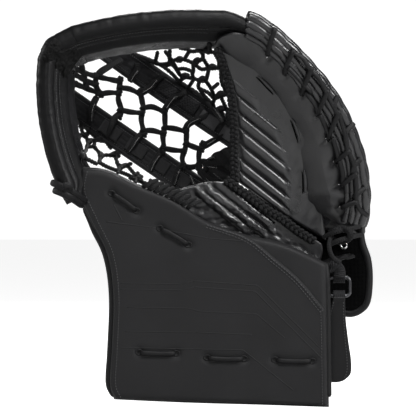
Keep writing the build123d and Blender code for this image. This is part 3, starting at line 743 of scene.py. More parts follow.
def edge_spot(line, t, out, front):
    p = at_line(line, t)
    away = Vector((p.x - 10, 0, p.z - 200)).normalized()
    q = p + away * out
    return Vector((q.x, palm_y(q.x, q.z) - front, q.z))


EDGE = even(flat([(20, 342), (40, 330), (62, 309), (92, 272), (112, 229), (118, 190), (114, 168)]), 120)


def pinch(length):
    """Rolls swell between the laces that cross them."""
    return lambda run: 0.86 + 0.16 * abs(sin(pi * run / length * 10))


whole = path_length(EDGE)
for name, out, front, size, nodes in (("edge_roll_inner", 2.2, 5.4, 6.6, ["edge_roll_front"]),
    ("edge_roll_second", 7.2, 5.6, 7.2, []),
                                   ("edge_roll_third", 12.4, 4.2, 7.6, []),
                                   ("edge_roll_outer", 18.2, -0.5, 9.4, ["edge_roll_back"]),
                                   ("edge_roll_rear", 21.0, -8.5, 9.0, [])):
    line = [edge_spot(EDGE, 0.02 + 0.96 * n / 150, out + 0.6 * rough((n / 9, out, 0), 1), front) for n in range(151)]
    place_on(tubes(name, PALM_LEATHER, [line], size, size, around=14, fat=pinch(whole)), "fingers", *nodes)


def over_rolls(x, z):
    """A place on top of the edge rolls at X and Z, which drop towards the outer wall."""
    gap, _ = from_line(x, z, PAD_OUT_LINE)
    out = Vector((x - 10, 0, z - 200)).length > Vector((at_line(PAD_OUT_LINE, _).x - 10, 0,
        at_line(PAD_OUT_LINE, _).z - 200)).length
    gap = gap if out else -gap
    rise = 6.0 + 5.0 * step(-6, 1, gap) - 3.2 * step(9, 17, gap) - 8.0 * step(16, 26, gap)
    return Vector((x, palm_y(x, z) - rise, z))


CROSS_LACES = [
    [(44, 324), (46, 333), (50, 345)], [(60, 307), (62, 316), (67, 326)], [(76, 289), (79, 299), (84, 311)],
    [(90, 271), (95, 281), (99, 291)], [(101, 249), (105, 260), (110, 272)], [(109, 228), (115, 233), (120, 237)],
    [(115, 206), (121, 211), (127, 216)], [(116, 185), (122, 188), (128, 190)],
]
RUN_LACES = [
    [(67, 326), (76, 321), (82, 312)], [(84, 310), (91, 303), (98, 291)], [(98, 291), (105, 278), (109, 272)],
    [(109, 288), (106, 279), (108, 272)], [(110, 272), (114, 260), (117, 250), (119, 237)],
    [(125, 263), (118, 255), (117, 247)], [(120, 237), (124, 228), (126, 221), (127, 216)],
    [(132, 230), (126, 224), (124, 218)], [(127, 216), (128, 204), (128, 190)],
    [(137, 203), (131, 199), (127, 195)], [(128, 190), (132, 183), (139, 178)], [(63, 312), (75, 300), (83, 292)],
    [(79, 291), (89, 278), (90, 274)], [(93, 270), (98, 260), (101, 253)], [(105, 249), (109, 237), (110, 232)],
    [(112, 228), (115, 216), (115, 209)],
]
crossings = []
for k, line in enumerate(CROSS_LACES + RUN_LACES):
    pts = [over_rolls(x, z) for x, z in line]
    if k < len(CROSS_LACES):
        pts = [pts[0] + Vector((0, 6, 0))] + pts
    pts.append(pts[-1] + (pts[-1] - pts[-2]).normalized() * 2.5 + Vector((0, 4, 0)))
    crossings.append([p - Vector((0, 0.9 if k < len(CROSS_LACES) else 0.2, 0)) for p in even(pts, 30)])
place_on(tubes("edge_crossing_laces", STRAP_LEATHER, crossings, 4.6, 2.4,
    up=lambda p: Vector((0.35 * (p.x - 10) / 120, -1, 0.35 * (p.z - 200) / 120)),
               around=10, square=2.6), "fingers", "edge_laces")
# Small bright metal arcs at the pad's lace holes: painted glints of light on the lace, not eyelets.
bright = []
for x, z in PAD_HOLES:
    y = pad_face(x, z) - 0.4
    bright.append([Vector((x - 1.0, y, z - 0.4)), Vector((x - 0.3, y - 0.3, z + 0.3)), Vector((x + 0.7, y, z + 0.8))])
place_on(tubes("pad_lace_glints", NICKEL_FOR_EYELET_AND_GLINTS, bright, 1.3, 0.9, around=6), "fingers")

WALL = [(24, 357), (49, 342), (82, 311), (104, 287), (118, 263), (128, 236.5), (134, 205), (136, 160)]
WALL_LINE = even(flat(WALL), 90)


def wall_spot(u, v):
    p = at_line(WALL_LINE, u)
    a, b = at_line(WALL_LINE, max(u - 0.02, 0)), at_line(WALL_LINE, min(u + 0.02, 1))
    t = (b - a).normalized()
    out = Vector((-t.z, 0, t.x)) * -1
    near_y = palm_y(p.x, p.z) + 1
    wave = 1.1 * rough((u * 22, v * 3, 0), 1, 4)
    q = Vector((p.x, near_y + (45 - near_y) * v, p.z)) + out * (1.5 * sin(pi * v) + wave * 0.6)
    return q, out


wall = bent_pad("finger_side_wall", PALM_LEATHER, wall_spot, 250, 60, 5, edge=2.5, grid=(120, 24),
                bump=lambda u, v: 1.5 * abs(sin(v * 3 * pi)) ** 0.5 + 0.9 * rough((u * 30, v * 7, 0), 1, 6) - 0.8)
place_on(wall, "fingers", "side_wall")
wall_rows = [spot_line(wall_spot, v, 2.6, 120, 0.02) for v in (0.335, 0.665)]
place_on(stitches("side_wall_stitches", THREAD, wall_rows, pitch=3.0), "fingers")
backs = pad("finger_back_pad", PAD_LEATHER, ([(42, 184), (75, 172), (105, 163), (132, 160)],
    [(26, 332), (25, 340), (24, 346), (25, 353)],
                                           [(42, 184), (36, 214), (48, 262), (39, 300), (26, 332)],
                                           [(132, 160), (130, 205), (124, 236), (114, 262), (100, 286), (79, 308),
                                           (48, 338), (25, 353)]),
            lambda x, z: 38.6 + 0.8 * rough((x, 0, z), 20, 2), 7, edge=4, grid=(50, 80))
place_on(backs, "fingers", "finger_back_panel")
inner = pad("finger_inner_lining", LINING, ([(22, 213), (45, 197), (70, 180), (94, 162)],
    [(2, 327), (10, 332), (18, 333), (27, 331)],
                                          [(22, 213), (20, 240), (18, 280), (12, 305), (2, 327)],
                                          [(94, 162), (108, 176), (113, 200), (106, 232), (90, 268), (62, 303),
                                          (27, 331)]),
            lambda x, z: palm_y(x, z) + 7.6, 6, edge=3, grid=(30, 60))
place_on(inner, "fingers", "finger_plate", "finger_lining")

# ---------------------------------------------------------------- rim
TOP_ARC = [(-168, 341), (-84, 363), (-7, 367)]
LEFT_ARC = [(-141, 186), (-166, 262), (-163, 345)]


def three_point(points, count):
    """Evenly spaced points on the circle through three points."""
    (ax, az), (bx, bz), (cx, cz) = points
    d = 2 * (ax * (bz - cz) + bx * (cz - az) + cx * (az - bz))
    sa, sb, sc = ax * ax + az * az, bx * bx + bz * bz, cx * cx + cz * cz
    x = (sa * (bz - cz) + sb * (cz - az) + sc * (az - bz)) / d
    z = (sa * (cx - bx) + sb * (ax - cx) + sc * (bx - ax)) / d
    a, b = Vector((ax - x, az - z)), Vector((cx - x, cz - z))
    turn = -a.angle_signed(b)
    out = []
    for n in range(count):
        q = Matrix.Rotation(turn * n / (count - 1), 2) @ a
        out.append(Vector((x + q.x, 0, z + q.y)))
    return out


left_run, top_run = three_point(LEFT_ARC, 60), three_point(TOP_ARC, 60)
rim_line = [p for p in left_run if p.z < 322] + [Vector((-163.5, 0, 330)), Vector((-158.5, 0, 339)),
    Vector((-149.5, 0, 344.5))]
rim_line = even(rim_line + [p for p in top_run if p.x > -139] + flat([(8, 366.3), (22, 361.5), (34, 354), (45, 344)]),
    380)


def rim_shape(a):
    """Height of the rim's face at a distance from its outer edge: a roll, two strips and a wall."""
    if a < 13:
        return 3.0 * sqrt(max(1 - ((a - 6.5) / 6.5) ** 2, 0))
    if a < 19:
        return 1.1 * max(1 - ((a - 16) / 3) ** 4, 0) ** 0.5
    return -0.6 * step(19, 21, a) - 0.9 * (a - 19) / 15


RIM_FACE = [0, 1, 2.2, 3.8, 5.2, 6.8, 8.4, 10, 11.4, 12.4, 12.9, 13.1, 13.6, 14.6, 16, 17.4, 18.4, 18.9, 19.1, 19.6,
    20.4, 21.4,
            24, 27.5, 31, 33, 34]


def rim_section():
    """Points round the rim's section: along it inwards, and across it from front to back."""
    pts = [(a, -rim_shape(a) + 2.2 * (1 - step(0, 3, a)) + 1.6 * step(32, 34, a)) for a in RIM_FACE]
    pts += [(35.4, 4), (36, 6.5), (35.4, 9.5), (34, 11.6), (31, 12.6), (25, 13), (15, 13), (7, 12.8), (3, 12),
        (0.4, 10), (-0.9, 7),
            (-0.8, 4.4)]
    return pts


SECTION = rim_section()
RIM_SLANT = radians(48)
RIM_INSET, RIM_FRONT = 9.66, -80


def rim_frame(t):
    """Outer edge of the rim, the ways along and across its slanting face, and the way inwards."""
    p = at_line(rim_line, t)
    a, b = at_line(rim_line, max(t - 0.006, 0)), at_line(rim_line, min(t + 0.006, 1))
    run = (b - a).normalized()
    inward = Vector((run.z, 0, -run.x))
    along = inward * cos(RIM_SLANT) + Vector((0, 1, 0)) * sin(RIM_SLANT)
    across = Vector((0, 1, 0)) * cos(RIM_SLANT) - inward * sin(RIM_SLANT)
    return p + inward * RIM_INSET + Vector((0, RIM_FRONT, 0)), along, across, inward


def rim_piece(name, low, high):
    """A run of the rim between two shares of its line."""
    count = max(12, int((high - low) * 300))
    at = [low + (high - low) * n / count for n in range(count + 1)]
    at = [at[0]] + at + [at[-1]]
    size = len(SECTION)

    def place(i, j):
        t = at[i]
        edge, along, across, _ = rim_frame(t)
        k = j % size
        l, c = SECTION[k]
        slim = 1 - 0.45 * step(0.05, 0, t) - 0.62 * step(0.86, 1, t)
        l, c = l * slim, 6 + (c - 6) * (0.4 + 0.6 * slim)
        if i in (0, len(at) - 1):
            l, c = 17 + (l - 17) * 0.02, 6.5 + (c - 6.5) * 0.02
        corner = exp(-((t - CORNER) / 0.045) ** 2)
        c += (0.7 * rough((t * 130, l / 7, 0), 1, 3) + 0.5 * rough((t * 260, l / 3, 0), 1,
            7)) * (0.25 + 1.6 * corner) * (1 if l < 30 else 0.3)
        l += 0.6 * rough((t * 60, 0, l / 9), 1, 11)
        return edge + along * l + across * c

    bm = bmesh.new()
    lay_grid(bm, [a * 30 for a in at], [n / size for n in range(size + 1)], place)
    return make_piece(bm, name, RIM_LEATHER_WITH_PAINTED_SHADE)


CORNER = next(n for n, p in enumerate(rim_line) if p.z > 335) / (len(rim_line) - 1)
left_rim = rim_piece("rim_left_leather", 0.0, CORNER)
top_rim = rim_piece("rim_top_leather", CORNER, 1.0)
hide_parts("rim_left_cover", "rim_left_foam", "rim_left_plate")
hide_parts("rim_top_cover", "rim_top_foam", "rim_top_plate")
low_end, middle, high_end = fold_spot(320, -26, -70) * MM, fold_spot(320, 0, -70) * MM, fold_spot(320, 30, -70) * MM
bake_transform(left_rim)
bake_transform(top_rim)


def rim_place(t, l, lift):
    """A place on the rim's face, at a share of its line and a distance from its outer edge."""
    edge, along, across, _ = rim_frame(t)
    return edge + along * l - across * (rim_shape(l) + lift)


for name, low, high, bodies, ends in (("rim_left_stitches", 0.07, CORNER - 0.02, ("cuff", "pocket"), (low_end, middle)),
                                     ("rim_top_stitches", CORNER + 0.02, 0.84, ("pocket", "fingers"),
                                     (middle, high_end))):
    rows = [[rim_place(low + (high - low) * n / 100, l, 0.3) for n in range(101)] for l in (14.4, 20.6)]
    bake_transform(stitches(name, THREAD, rows, pitch=2.6, long=1.8))


def inner_wall(low, high):
    """Wall that runs back from the rim's inner edge to the nets."""
    def spot(u, v):
        t = low + (high - low) * u
        start = rim_place(t, 33.0, -3.0)
        inward = rim_frame(t)[3]
        wave = 1.0 * rough((u * 16, v * 2, 0), 1, 3)
        return start + inward * (5.5 * v + wave) + Vector((0, 26 * v,
            0)), (inward * 0.9 + Vector((0, -0.35, 0))).normalized()
    return spot


wall_left = bent_pad("rim_inner_wall_left", PALM_LEATHER, inner_wall(0.05, CORNER), 140, 26, 3, edge=1.5, grid=(90, 12))
wall_top = bent_pad("rim_inner_wall_top", PALM_LEATHER, inner_wall(CORNER, 0.86), 140, 26, 3, edge=1.5, grid=(90, 12))
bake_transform(wall_left)
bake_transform(wall_top)


def crumple_spot(u, v):
    p = fold_spot(308 - 27 * v, 4 + (11 + 9 * v) * (2 * u - 1))
    deep = -84 + 30 * v + 2 * (2 * u - 1) ** 2
    lump = 2.4 * rough((u * 4, v * 6, 0), 1, 2) + 1.6 * rough((u * 11, v * 15, 0), 1, 5)
    return Vector((p.x, deep + lump, p.z)), (ALONG * -0.45 + Vector((0, -0.9, 0))).normalized()


# Crumpled suede in the rim's inner corner, its colour darkened with painted corner shade.
corner = bent_pad("rim_corner_crumple", SUEDE_WITH_PAINTED_SHADE, crumple_spot, 30, 46, 7, edge=4, grid=(60, 70))
place_on(corner, "pocket", "rim_corner")

tie = []
for k, (a, b) in enumerate((((-152, 208), (-121, 190)), ((-150, 201), (-124, 186)))):
    line = [Vector((a[0] + (b[0] - a[0]) * t, -78 - 9 * sin(pi * t) + 16 * t * t,
        a[1] + (b[1] - a[1]) * t + 2 * sin(3 * t)))
            for t in [n / 20 for n in range(21)]]
    tie.append(line)
tie.append([Vector((-141 + 6 * sin(a) , -84 - 4 * cos(a),
    200 + 9 * cos(a * 0.5) - 4)) for a in [n * pi / 9 for n in range(10)]])
place_on(tubes("rim_tie_straps", STRAP_LEATHER, tie, 6.5, 2.6, around=10, square=2.8), "cuff", "rim_tie")

# ---------------------------------------------------------------- pocket: bands, heel and nets
FROM, TO = 179.0, -21.0


def band_spot(low):
    def spot(u, v):
        a = FROM + (TO - FROM) * u
        p = trough_spot(a, low + 26 * v, 1.5)
        r = radians(a)
        out = ALONG * -cos(r) + Vector((0, -sin(r), 0))
        return p, out.normalized()
    return spot


def band_bump(u, v):
    """Rolled edges, and a middle divided by the laces that wrap it."""
    edge = 1.5 * max(exp(-((v - 0.1) / 0.07) ** 2), exp(-((v - 0.9) / 0.07) ** 2))
    blocks = 0.8 * (1 - abs(2 * ((u * 11) % 1) - 1) ** 6) * (1 if 0.2 < v < 0.8 else 0)
    return edge + blocks - 0.5


for name, low in (("pocket_band_lower", -38), ("pocket_band_upper", 26)):
    strip = bent_pad(name + "_webbing", WEBBING, band_spot(low), 330, 26, 4.2, edge=2.0, grid=(220, 26), bump=band_bump)
    place_on(strip, "pocket", name)
    seams = [spot_line(band_spot(low), v, 2.5, 150, 0.01) for v in (0.2, 0.8)]
    place_on(stitches(name + "_stitches", THREAD, seams, pitch=2.6, long=1.7), "pocket")


def patch_spot(high, low, across, wide):
    """A lighter block of webbing on a band, between two laces."""
    def spot(u, v):
        a = high + (low - high) * u
        r = radians(a)
        return trough_spot(a, across + wide * (v - 0.5), -1.7), (ALONG * -cos(r) + Vector((0, -sin(r), 0))).normalized()
    return spot


for k, (high, low, across) in enumerate(((104, 92, 39), (121, 107, 37.5), (141, 125, 36.5), (163, 146, 36),
    (88, 76, 39))):
    block = bent_pad("upper_band_block_%d" % (k + 1), BLOCK if 0 < k < 4 else WEBBING,
        patch_spot(high, low, across, 12), 20, 12, 2.4,
                     edge=1.2, grid=(16, 12))
    place_on(block, "pocket")
for k, (high, low) in enumerate(((147, 133), (128, 115), (110, 98), (93, 80), (74, 60))):
    block = bent_pad("lower_band_block_%d" % (k + 1), DARK_BLOCK, patch_spot(high, low, -25, 13), 20, 12, 2.2,
        edge=1.2, grid=(16, 12))
    place_on(block, "pocket")


def heel_spot(u, v):
    a = FROM - 1 - 49 * u + 9 * (2 * v - 1) ** 2 * u
    p = trough_spot(a, -13.5 + 41 * v, 0.5 - 2.0 * abs(sin(5 * pi * (v - 0.5) * (1.2 - 0.5 * u))))
    r = radians(a)
    return p, (ALONG * -cos(r) + Vector((0, -sin(r), 0))).normalized()


turn = bent_pad("pocket_heel_leather", STRAP_LEATHER, heel_spot, 80, 41, 3, edge=2.0, grid=(60, 90))
place_on(turn, "pocket", "pocket_heel")


def bowl(x, z, lift=0.0):
    """A place on the front of the trough at X and Z."""
    u, _ = fold_uv(x, z)
    return Vector((x, pocket_y(min(max(u, 98), 284)) - lift, z))


def draped(points, lift=1.0, count=14):
    """A cord across the trough through drawn points."""
    return even([bowl(x, z, lift) for x, z in points], count)


# The centre net: short laces knotted in ladders between the two bands, and laces that wrap the bands
CENTRE_NET = [
    [(-139, 319), (-130, 314), (-118, 311)], [(-138, 312), (-128, 307), (-118, 303)],
    [(-137, 303), (-126, 299), (-114, 295)],
    [(-130, 322), (-128, 310), (-127, 300)],
    [(-117, 311), (-118, 303), (-113, 294)], [(-118, 311), (-107, 309), (-95, 307)],
    [(-115, 294), (-106, 296), (-96, 296)], [(-95, 309), (-96, 299), (-97, 290), (-94, 279), (-96, 273)],
    [(-95, 301), (-86, 300), (-75, 295)], [(-95, 280), (-86, 278), (-74, 277)],
    [(-76, 298), (-74, 288), (-73, 281), (-75, 271), (-72, 256)], [(-73, 282), (-64, 283), (-52, 278)],
    [(-73, 260), (-64, 260), (-53, 257)], [(-52, 281), (-52, 271), (-52, 264), (-54, 256), (-53, 243), (-54, 239)],
    [(-52, 263), (-43, 262), (-31, 259)], [(-54, 243), (-44, 241), (-33, 240)],
    [(-31, 263), (-31, 253), (-32, 243), (-35, 233), (-33, 224)], [(-31, 247), (-24, 244), (-16, 241)],
    [(-34, 226), (-27, 224), (-18, 226)], [(-15, 247), (-18, 240), (-19, 232), (-18, 226)],
]
net = [draped(line, 1.0 + 0.5 * (k % 2), 36) for k, line in enumerate(CENTRE_NET)]
place_on(tubes("centre_net_laces", LACE, net, 5.4, 2.4, around=10, square=2.4,
               fat=lambda run: 0.86 + 0.2 * abs(sin(run / 5.3))), "pocket", "pocket_net")
knots = []
for line in CENTRE_NET:
    for x, z in (line[0], line[-1]):
        knots.append(even([bowl(x - 3, z - 1.6, 1.8), bowl(x - 0.6, z + 0.8, 3.2), bowl(x + 3, z + 1.2, 1.8)], 10))
        knots.append(even([bowl(x - 1.2, z + 3, 1.8), bowl(x + 0.6, z, 3.0), bowl(x + 1.0, z - 3, 1.8)], 10))
place_on(tubes("centre_net_knots", LACE, knots, 3.4, 2.0, around=8), "pocket")

UPPER_WRAPS = [
    [(-86, 307), (-83, 312), (-79, 318), (-79, 325)], [(-75, 296), (-67, 301), (-61, 308), (-52, 315)],
    [(-53, 279), (-47, 288), (-41, 293), (-31, 298)], [(-32, 260), (-29, 266), (-19, 271), (-8, 275)],
    [(-16, 245), (-13, 245), (-4, 250), (6, 254)], [(-117, 310), (-113, 315), (-104, 321), (-93, 328)],
]
LOWER_WRAPS = [
    [(-117, 292), (-120, 286), (-123, 277), (-124, 268)], [(-95, 277), (-101, 271), (-104, 263), (-109, 253)],
    [(-73, 258), (-79, 252), (-83, 246), (-88, 239)], [(-54, 241), (-60, 233), (-64, 227), (-67, 220)],
    [(-34, 227), (-39, 221), (-41, 215), (-44, 206)],
]
HEEL_FAN = [
    [(-16, 226), (-9, 232), (-3, 234)], [(-15, 226), (-4, 227), (8, 227)], [(-15, 225), (-7, 224), (-1, 223)],
    [(-22, 223), (-15, 217), (-5, 205)], [(-27, 216), (-24, 209), (-20, 203)], [(-40, 221), (-39, 216), (-42, 208)],
    [(-19, 221), (-9, 212), (1, 209)], [(-19, 229), (-13, 229), (-10, 226), (-14, 220), (-18, 222), (-19, 229)],
]
wraps, flecked = [], []
for k, line in enumerate(UPPER_WRAPS + LOWER_WRAPS):
    lifts = [1.0, 3.4, 4.6, 1.5]
    wraps.append(even([bowl(x, z, lift) for (x, z), lift in zip(line, lifts)], 26))
    if k in (0, 1, 2, 3, 4, 6, 8, 9, 10):
        wrap = wraps[-1]
        flecked.append([p + Vector((1.6, -1.3, 0.8)) for p in (wrap[:16] if k < 6 else wrap[8:])])
for k, line in enumerate(HEEL_FAN):
    (flecked if k in (0, 2, 3, 4, 5) else wraps).append(draped(line, 4.2, 24))
place_on(tubes("band_wrap_laces", LACE, wraps, 6.4, 2.4, around=10, square=2.6,
               fat=lambda run: 0.84 + 0.22 * abs(sin(run / 9 + 0.6))), "pocket")
place_on(tubes("flecked_wrap_laces", FLECKED, flecked, 2.6, 1.8, around=10, square=2.2), "pocket")


def net_place(x, z, side):
    """A place on a side net, which runs from a band's edge out to the mouth."""
    u, v = fold_uv(x, z)
    start, reach = (52, 42) if side > 0 else (-38, 22)
    share = min(max(abs(v - start) / reach, 0), 1.2)
    low = pocket_y(min(max(u, 98), 284))
    front = -7 - 0.2554 * u if side > 0 else -54
    return Vector((x, low + (front - low) * share, z))


UPPER_SIDE_NET = [
    [(-82, 333), (-66, 328), (-54, 322), (-45, 315), (-38, 308), (-29, 302), (-20, 296), (-11, 287), (-4, 278),
    (4, 266)],
    [(-58, 334), (-61, 326)], [(-46, 335), (-47, 325)], [(-41, 318), (-33, 318), (-25, 315)],
    [(-38, 308), (-32, 311)], [(-29, 302), (-24, 308)],
    [(-24, 322), (-16, 316), (-8, 317)], [(0, 303), (-6, 299)], [(-4, 328), (0, 321), (0, 315)],
    [(2, 315), (3, 304), (8, 294)],
    [(-51, 334), (-44, 325), (-36, 312), (-32, 311), (-24, 309), (-18, 307), (-14, 306), (-11, 308)],
    [(-70, 329), (-58, 324), (-46, 324), (-41, 326), (-35, 326), (-29, 324), (-24, 322), (-18, 323), (-15, 325),
    (-15, 328), (-18, 331)],
    [(-51, 322), (-44, 322), (-37, 313)], [(-28, 331), (-32, 326)],
    [(-37, 335), (-29, 333), (-25, 331), (-18, 331), (-13, 330), (-8, 329), (-3, 328)],
    [(-24, 321), (-24, 315), (-25, 313), (-24, 309)], [(-15, 325), (-9, 317), (-3, 316), (2, 315)],
    [(-9, 316), (-11, 309), (-12, 306)], [(-12, 306), (-7, 299), (-3, 291), (2, 292), (8, 293)],
    [(-18, 307), (-19, 301), (-10, 296), (-4, 290)], [(-3, 291), (-5, 286), (-2, 280), (8, 280)],
    [(2, 292), (6, 284), (8, 280)], [(-19, 301), (-14, 294), (-5, 285)], [(-18, 331), (-19, 335), (-18, 340)],
    [(-8, 329), (-9, 336)], [(-2, 280), (1, 273), (4, 266)], [(3, 280), (6, 268)], [(8, 280), (11, 268)],
]
UPPER_KNOTS = [
    [(-40, 325), (-37, 326), (-34, 325)], [(-24, 321), (-21, 323), (-18, 324)],
    [(-35, 312), (-32, 312), (-28, 311)], [(-18, 307), (-15, 308), (-12, 306)], [(-9, 316), (-6, 317), (-2, 315)],
    [(-2, 291), (2, 294), (7, 292)], [(-14, 330), (-10, 330), (-7, 329)], [(-1, 280), (3, 281), (7, 280)],
    [(-20, 331), (-18, 332), (-16, 330)],
]
LOWER_SIDE_NET = [
    [(-84, 213), (-72, 209), (-61, 205), (-51, 201), (-42, 197)], [(-78, 219), (-72, 209), (-64, 203)],
    [(-66, 212), (-60, 204), (-54, 199)],
    [(-54, 207), (-49, 199)], [(-80, 206), (-68, 203), (-54, 198), (-44, 193)],
    [(-134, 254), (-128, 254), (-126, 258), (-126, 263)],
    [(-129, 256), (-124, 249), (-119, 250), (-113, 250), (-109, 249), (-104, 242)],
    [(-124, 249), (-124, 238), (-126, 233)], [(-119, 250), (-118, 243), (-113, 237), (-111, 233), (-111, 226)],
    [(-124, 242), (-119, 243)], [(-111, 234), (-106, 235), (-99, 235), (-96, 238)],
    [(-99, 235), (-97, 229), (-94, 224), (-88, 226), (-84, 228)], [(-94, 224), (-94, 217)],
    [(-126, 233), (-120, 229), (-112, 225)], [(-132, 254), (-131, 244), (-126, 233)],
    [(-88, 226), (-81, 218), (-77, 213), (-73, 215)], [(-78, 213), (-78, 208)], [(-127, 261), (-118, 252)],
    [(-111, 227), (-104, 223), (-94, 219), (-84, 215), (-77, 210)], [(-135, 271), (-133, 264), (-130, 256)],
]
LOWER_KNOTS = [
    [(-126, 250), (-123, 248), (-121, 250)], [(-118, 250), (-114, 251), (-110, 249)],
    [(-112, 237), (-111, 233), (-109, 235)], [(-103, 235), (-99, 237), (-96, 234)],
    [(-95, 226), (-93, 223), (-88, 226)], [(-80, 216), (-77, 213), (-74, 215)],
    [(-127, 233), (-125, 232), (-123, 233)], [(-130, 255), (-128, 254), (-126, 256)],
]


def side_net(name, side, drawn, tied, node_name):
    lines = [even([net_place(x, z, side) for x, z in line], 7 * len(line)) for line in drawn]
    strands = tubes(name + "_laces", LACE, lines, 4.2, 2.8, around=8, fat=lambda run: 0.92 + 0.14 * sin(run * 1.7))
    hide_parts(node_name)
    ties = []
    for line in tied:
        (ax, az), (bx, bz), (cx, cz) = line
        ties.append(even([net_place(ax, az, side), net_place(bx, bz + 0.6, side) - Vector((0, 1.6, 0)),
            net_place(cx, cz, side)], 12))
        ties.append(even([net_place(bx - 1, bz + 2, side), net_place(bx, bz, side) - Vector((0, 2.2, 0)),
            net_place(bx + 1, bz - 2, side)], 8))
    return strands, tubes(name + "_knots", LACE, ties, 5.2, 3.6, around=8)


upper = side_net("side_net_upper", 1, UPPER_SIDE_NET, UPPER_KNOTS, "side_net_upper")
lower = side_net("side_net_lower", -1, LOWER_SIDE_NET, LOWER_KNOTS, "side_net_lower")
for obj in upper:
    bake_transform(obj)
for obj in lower:
    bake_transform(obj)


# Braided laces: along the pocket's edge of the palm, and across the palm's fold
def braid(line, radius, pitch):
    strands = []
    whole = path_length(line)
    count = int(whole / 1.6)
    fine = even(line, count)
    for k in range(3):
        pts = []
        for n, p in enumerate(fine):
            t = (fine[min(n + 1, count - 1)] - fine[max(n - 1, 0)]).normalized()
            s = t.cross(Vector((0, -1, 0))).normalized()
            a = 2 * pi * (n * 1.6 / pitch + k / 3)
            pts.append(p + s * radius * sin(a) + s.cross(t) * radius * 0.55 * sin(2 * a))
        strands.append(pts)
    return strands


edge_line = [Vector((x - 3, palm_y(x - 3, z) - 2.5, z)) for x, z in PALM_EDGE]
place_on(tubes("palm_edge_braid", LACE, braid(edge_line, 2.6, 13), 3.6, 2.2, around=8), "fingers", "palm_edge_lace")
fold_line = [(6, 211), (16, 204), (30, 194), (44, 183.5), (58, 175), (74, 163), (90, 153)]
crumple_lace = [Vector((x, palm_y(x, z) - 3.5 - 1.0 * (k % 2), z)) for k, (x, z) in enumerate(fold_line)]
place_on(tubes("palm_fold_braid", LACE, braid(crumple_lace, 2.8, 15), 3.8, 2.2, around=8), "pocket")
edge_laces = []
for n in range(9):
    t = n / 8
    x, z = -64 + 40 * t, 204 - 19 * t
    edge_laces.append(even([Vector((x - 6, -56, z - 1.5)), Vector((x - 2, -60, z + 1.5)),
        Vector((x + 3, -58, z + 4.5)), Vector((x + 8, -46, z + 6))], 16))
place_on(tubes("board_top_laces", LACE, edge_laces, 4.2, 2.2, around=8, square=2.4), "cuff")

# ---------------------------------------------------------------- heel knot, ring, tab and backhand pad
knot = []
for k in range(7):
    a0 = k * 0.9
    pts = []
    for n in range(15):
        a = a0 + n * 0.32
        pts.append(Vector((112 + (9 + 1.5 * sin(k)) * cos(a), -46 - 5 * sin(n * 0.42 + k) - k * 0.6,
            160 + (6 + cos(2 * k)) * sin(a))))
    knot.append(pts)
knot.append(even([Vector((96, -44, 158)), Vector((108, -52, 163)), Vector((122, -48, 166)), Vector((131, -34, 168))],
    20))
knot.append(even([Vector((100, -46, 150)), Vector((110, -52, 155)), Vector((121, -48, 158)), Vector((132, -32, 160))],
    20))
knot.append(even([Vector((104, -46, 163)), Vector((101, -50, 150)), Vector((104, -48, 140)), Vector((112, -44, 134))],
    20))
heel_knot = tubes("heel_knot_laces", LACE, knot, 4.4, 2.2, around=8, square=2.4)
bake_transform(heel_knot)


def hanging(name, material, spot, wide, tall, thick, body, nodes, edge=2.0, grid=(24, 60)):
    piece = bent_pad(name, material, spot, wide, tall, thick, edge=edge, grid=grid)
    place_on(piece, body, *nodes)
    return piece


def tab_spot(layer):
    left = even(flat([(105.8, 103), (100, 83), (94, 62), (89.5, 46), (89, 34), (94, 28)]), 50)
    right = even(flat([(116.2, 103), (117, 83), (119.5, 62), (122, 44), (121.5, 32), (116, 26)]), 50)

    def spot(u, v):
        k = 1 - v
        a, b = at_line(left, k), at_line(right, k)
        if layer:
            a, b = a.lerp(b, 0.05), b.lerp(a, 0.05)
        p = a.lerp(b, u)
        p.z -= 3.2 * (1 - (2 * u - 1) ** 2) * step(0.9, 1.0, k)
        y = -37.2 + 0.9 * sin(k * 3) * layer + (2.6 if layer else 0)
        return Vector((p.x, y + 0.5 * sin(5 * k), p.z)), Vector((0.12 * (u - 0.5), -1, 0)).normalized()
    return spot


hanging("strap_tab_leather", STRAP_LEATHER, tab_spot(0), 28, 80, 3.2, "strap_tab", ["strap_tab"])
hanging("strap_tab_back", WEBBING, tab_spot(1), 28, 80, 2.6, "strap_tab", ["strap_tab_lining"])
tab_seam = [[tab_spot(0)(u, 0.05 + 0.9 * n / 40)[0] + Vector((0, -1.8, 0)) for n in range(41)] for u in (0.12, 0.88)]
place_on(stitches("strap_tab_stitches", THREAD, tab_seam, pitch=2.6, long=1.7), "strap_tab")


def around_bar(z, name, body, nodes, width=11.0):
    """A webbing loop round one bar of the ring."""
    bm = bmesh.new()
    us, vs = [n / 10 for n in range(11)], [n / 28 for n in range(29)]
    for size in (5.2, 3.0):
        def place(i, j, size=size):
            a = 2 * pi * (j % 28) / 28
            x = 111 - width / 2 + width * us[i]
            return Vector((x, -33 + size * cos(a), z + size * sin(a)))
        lay_grid(bm, us, vs, place)
    for x_at in (0, 10):
        def ring(i, j, x_at=x_at):
            a = 2 * pi * (j % 28) / 28
            size = 5.2 if i == 0 else 3.0
            return Vector((111 - width / 2 + width * us[x_at], -33 + size * cos(a), z + size * sin(a)))
        lay_grid(bm, [0, 1], vs, ring)
    piece = make_piece(bm, name, WEBBING)
    place_on(piece, body, *nodes)


around_bar(103.5, "strap_tab_loop", "strap_tab", [])
around_bar(120.5, "ring_anchor_loop", "cuff", [])
anchor = even([Vector((111, -38.2, 120)), Vector((111, -38.6, 127)), Vector((107, -39, 131)),
    Vector((99, -38.8, 129)), Vector((92, -38.4, 127))], 30)
place_on(tubes("ring_anchor_strap", WEBBING, [anchor], 11, 2.6, around=12, square=3.0), "cuff", "ring_anchor")

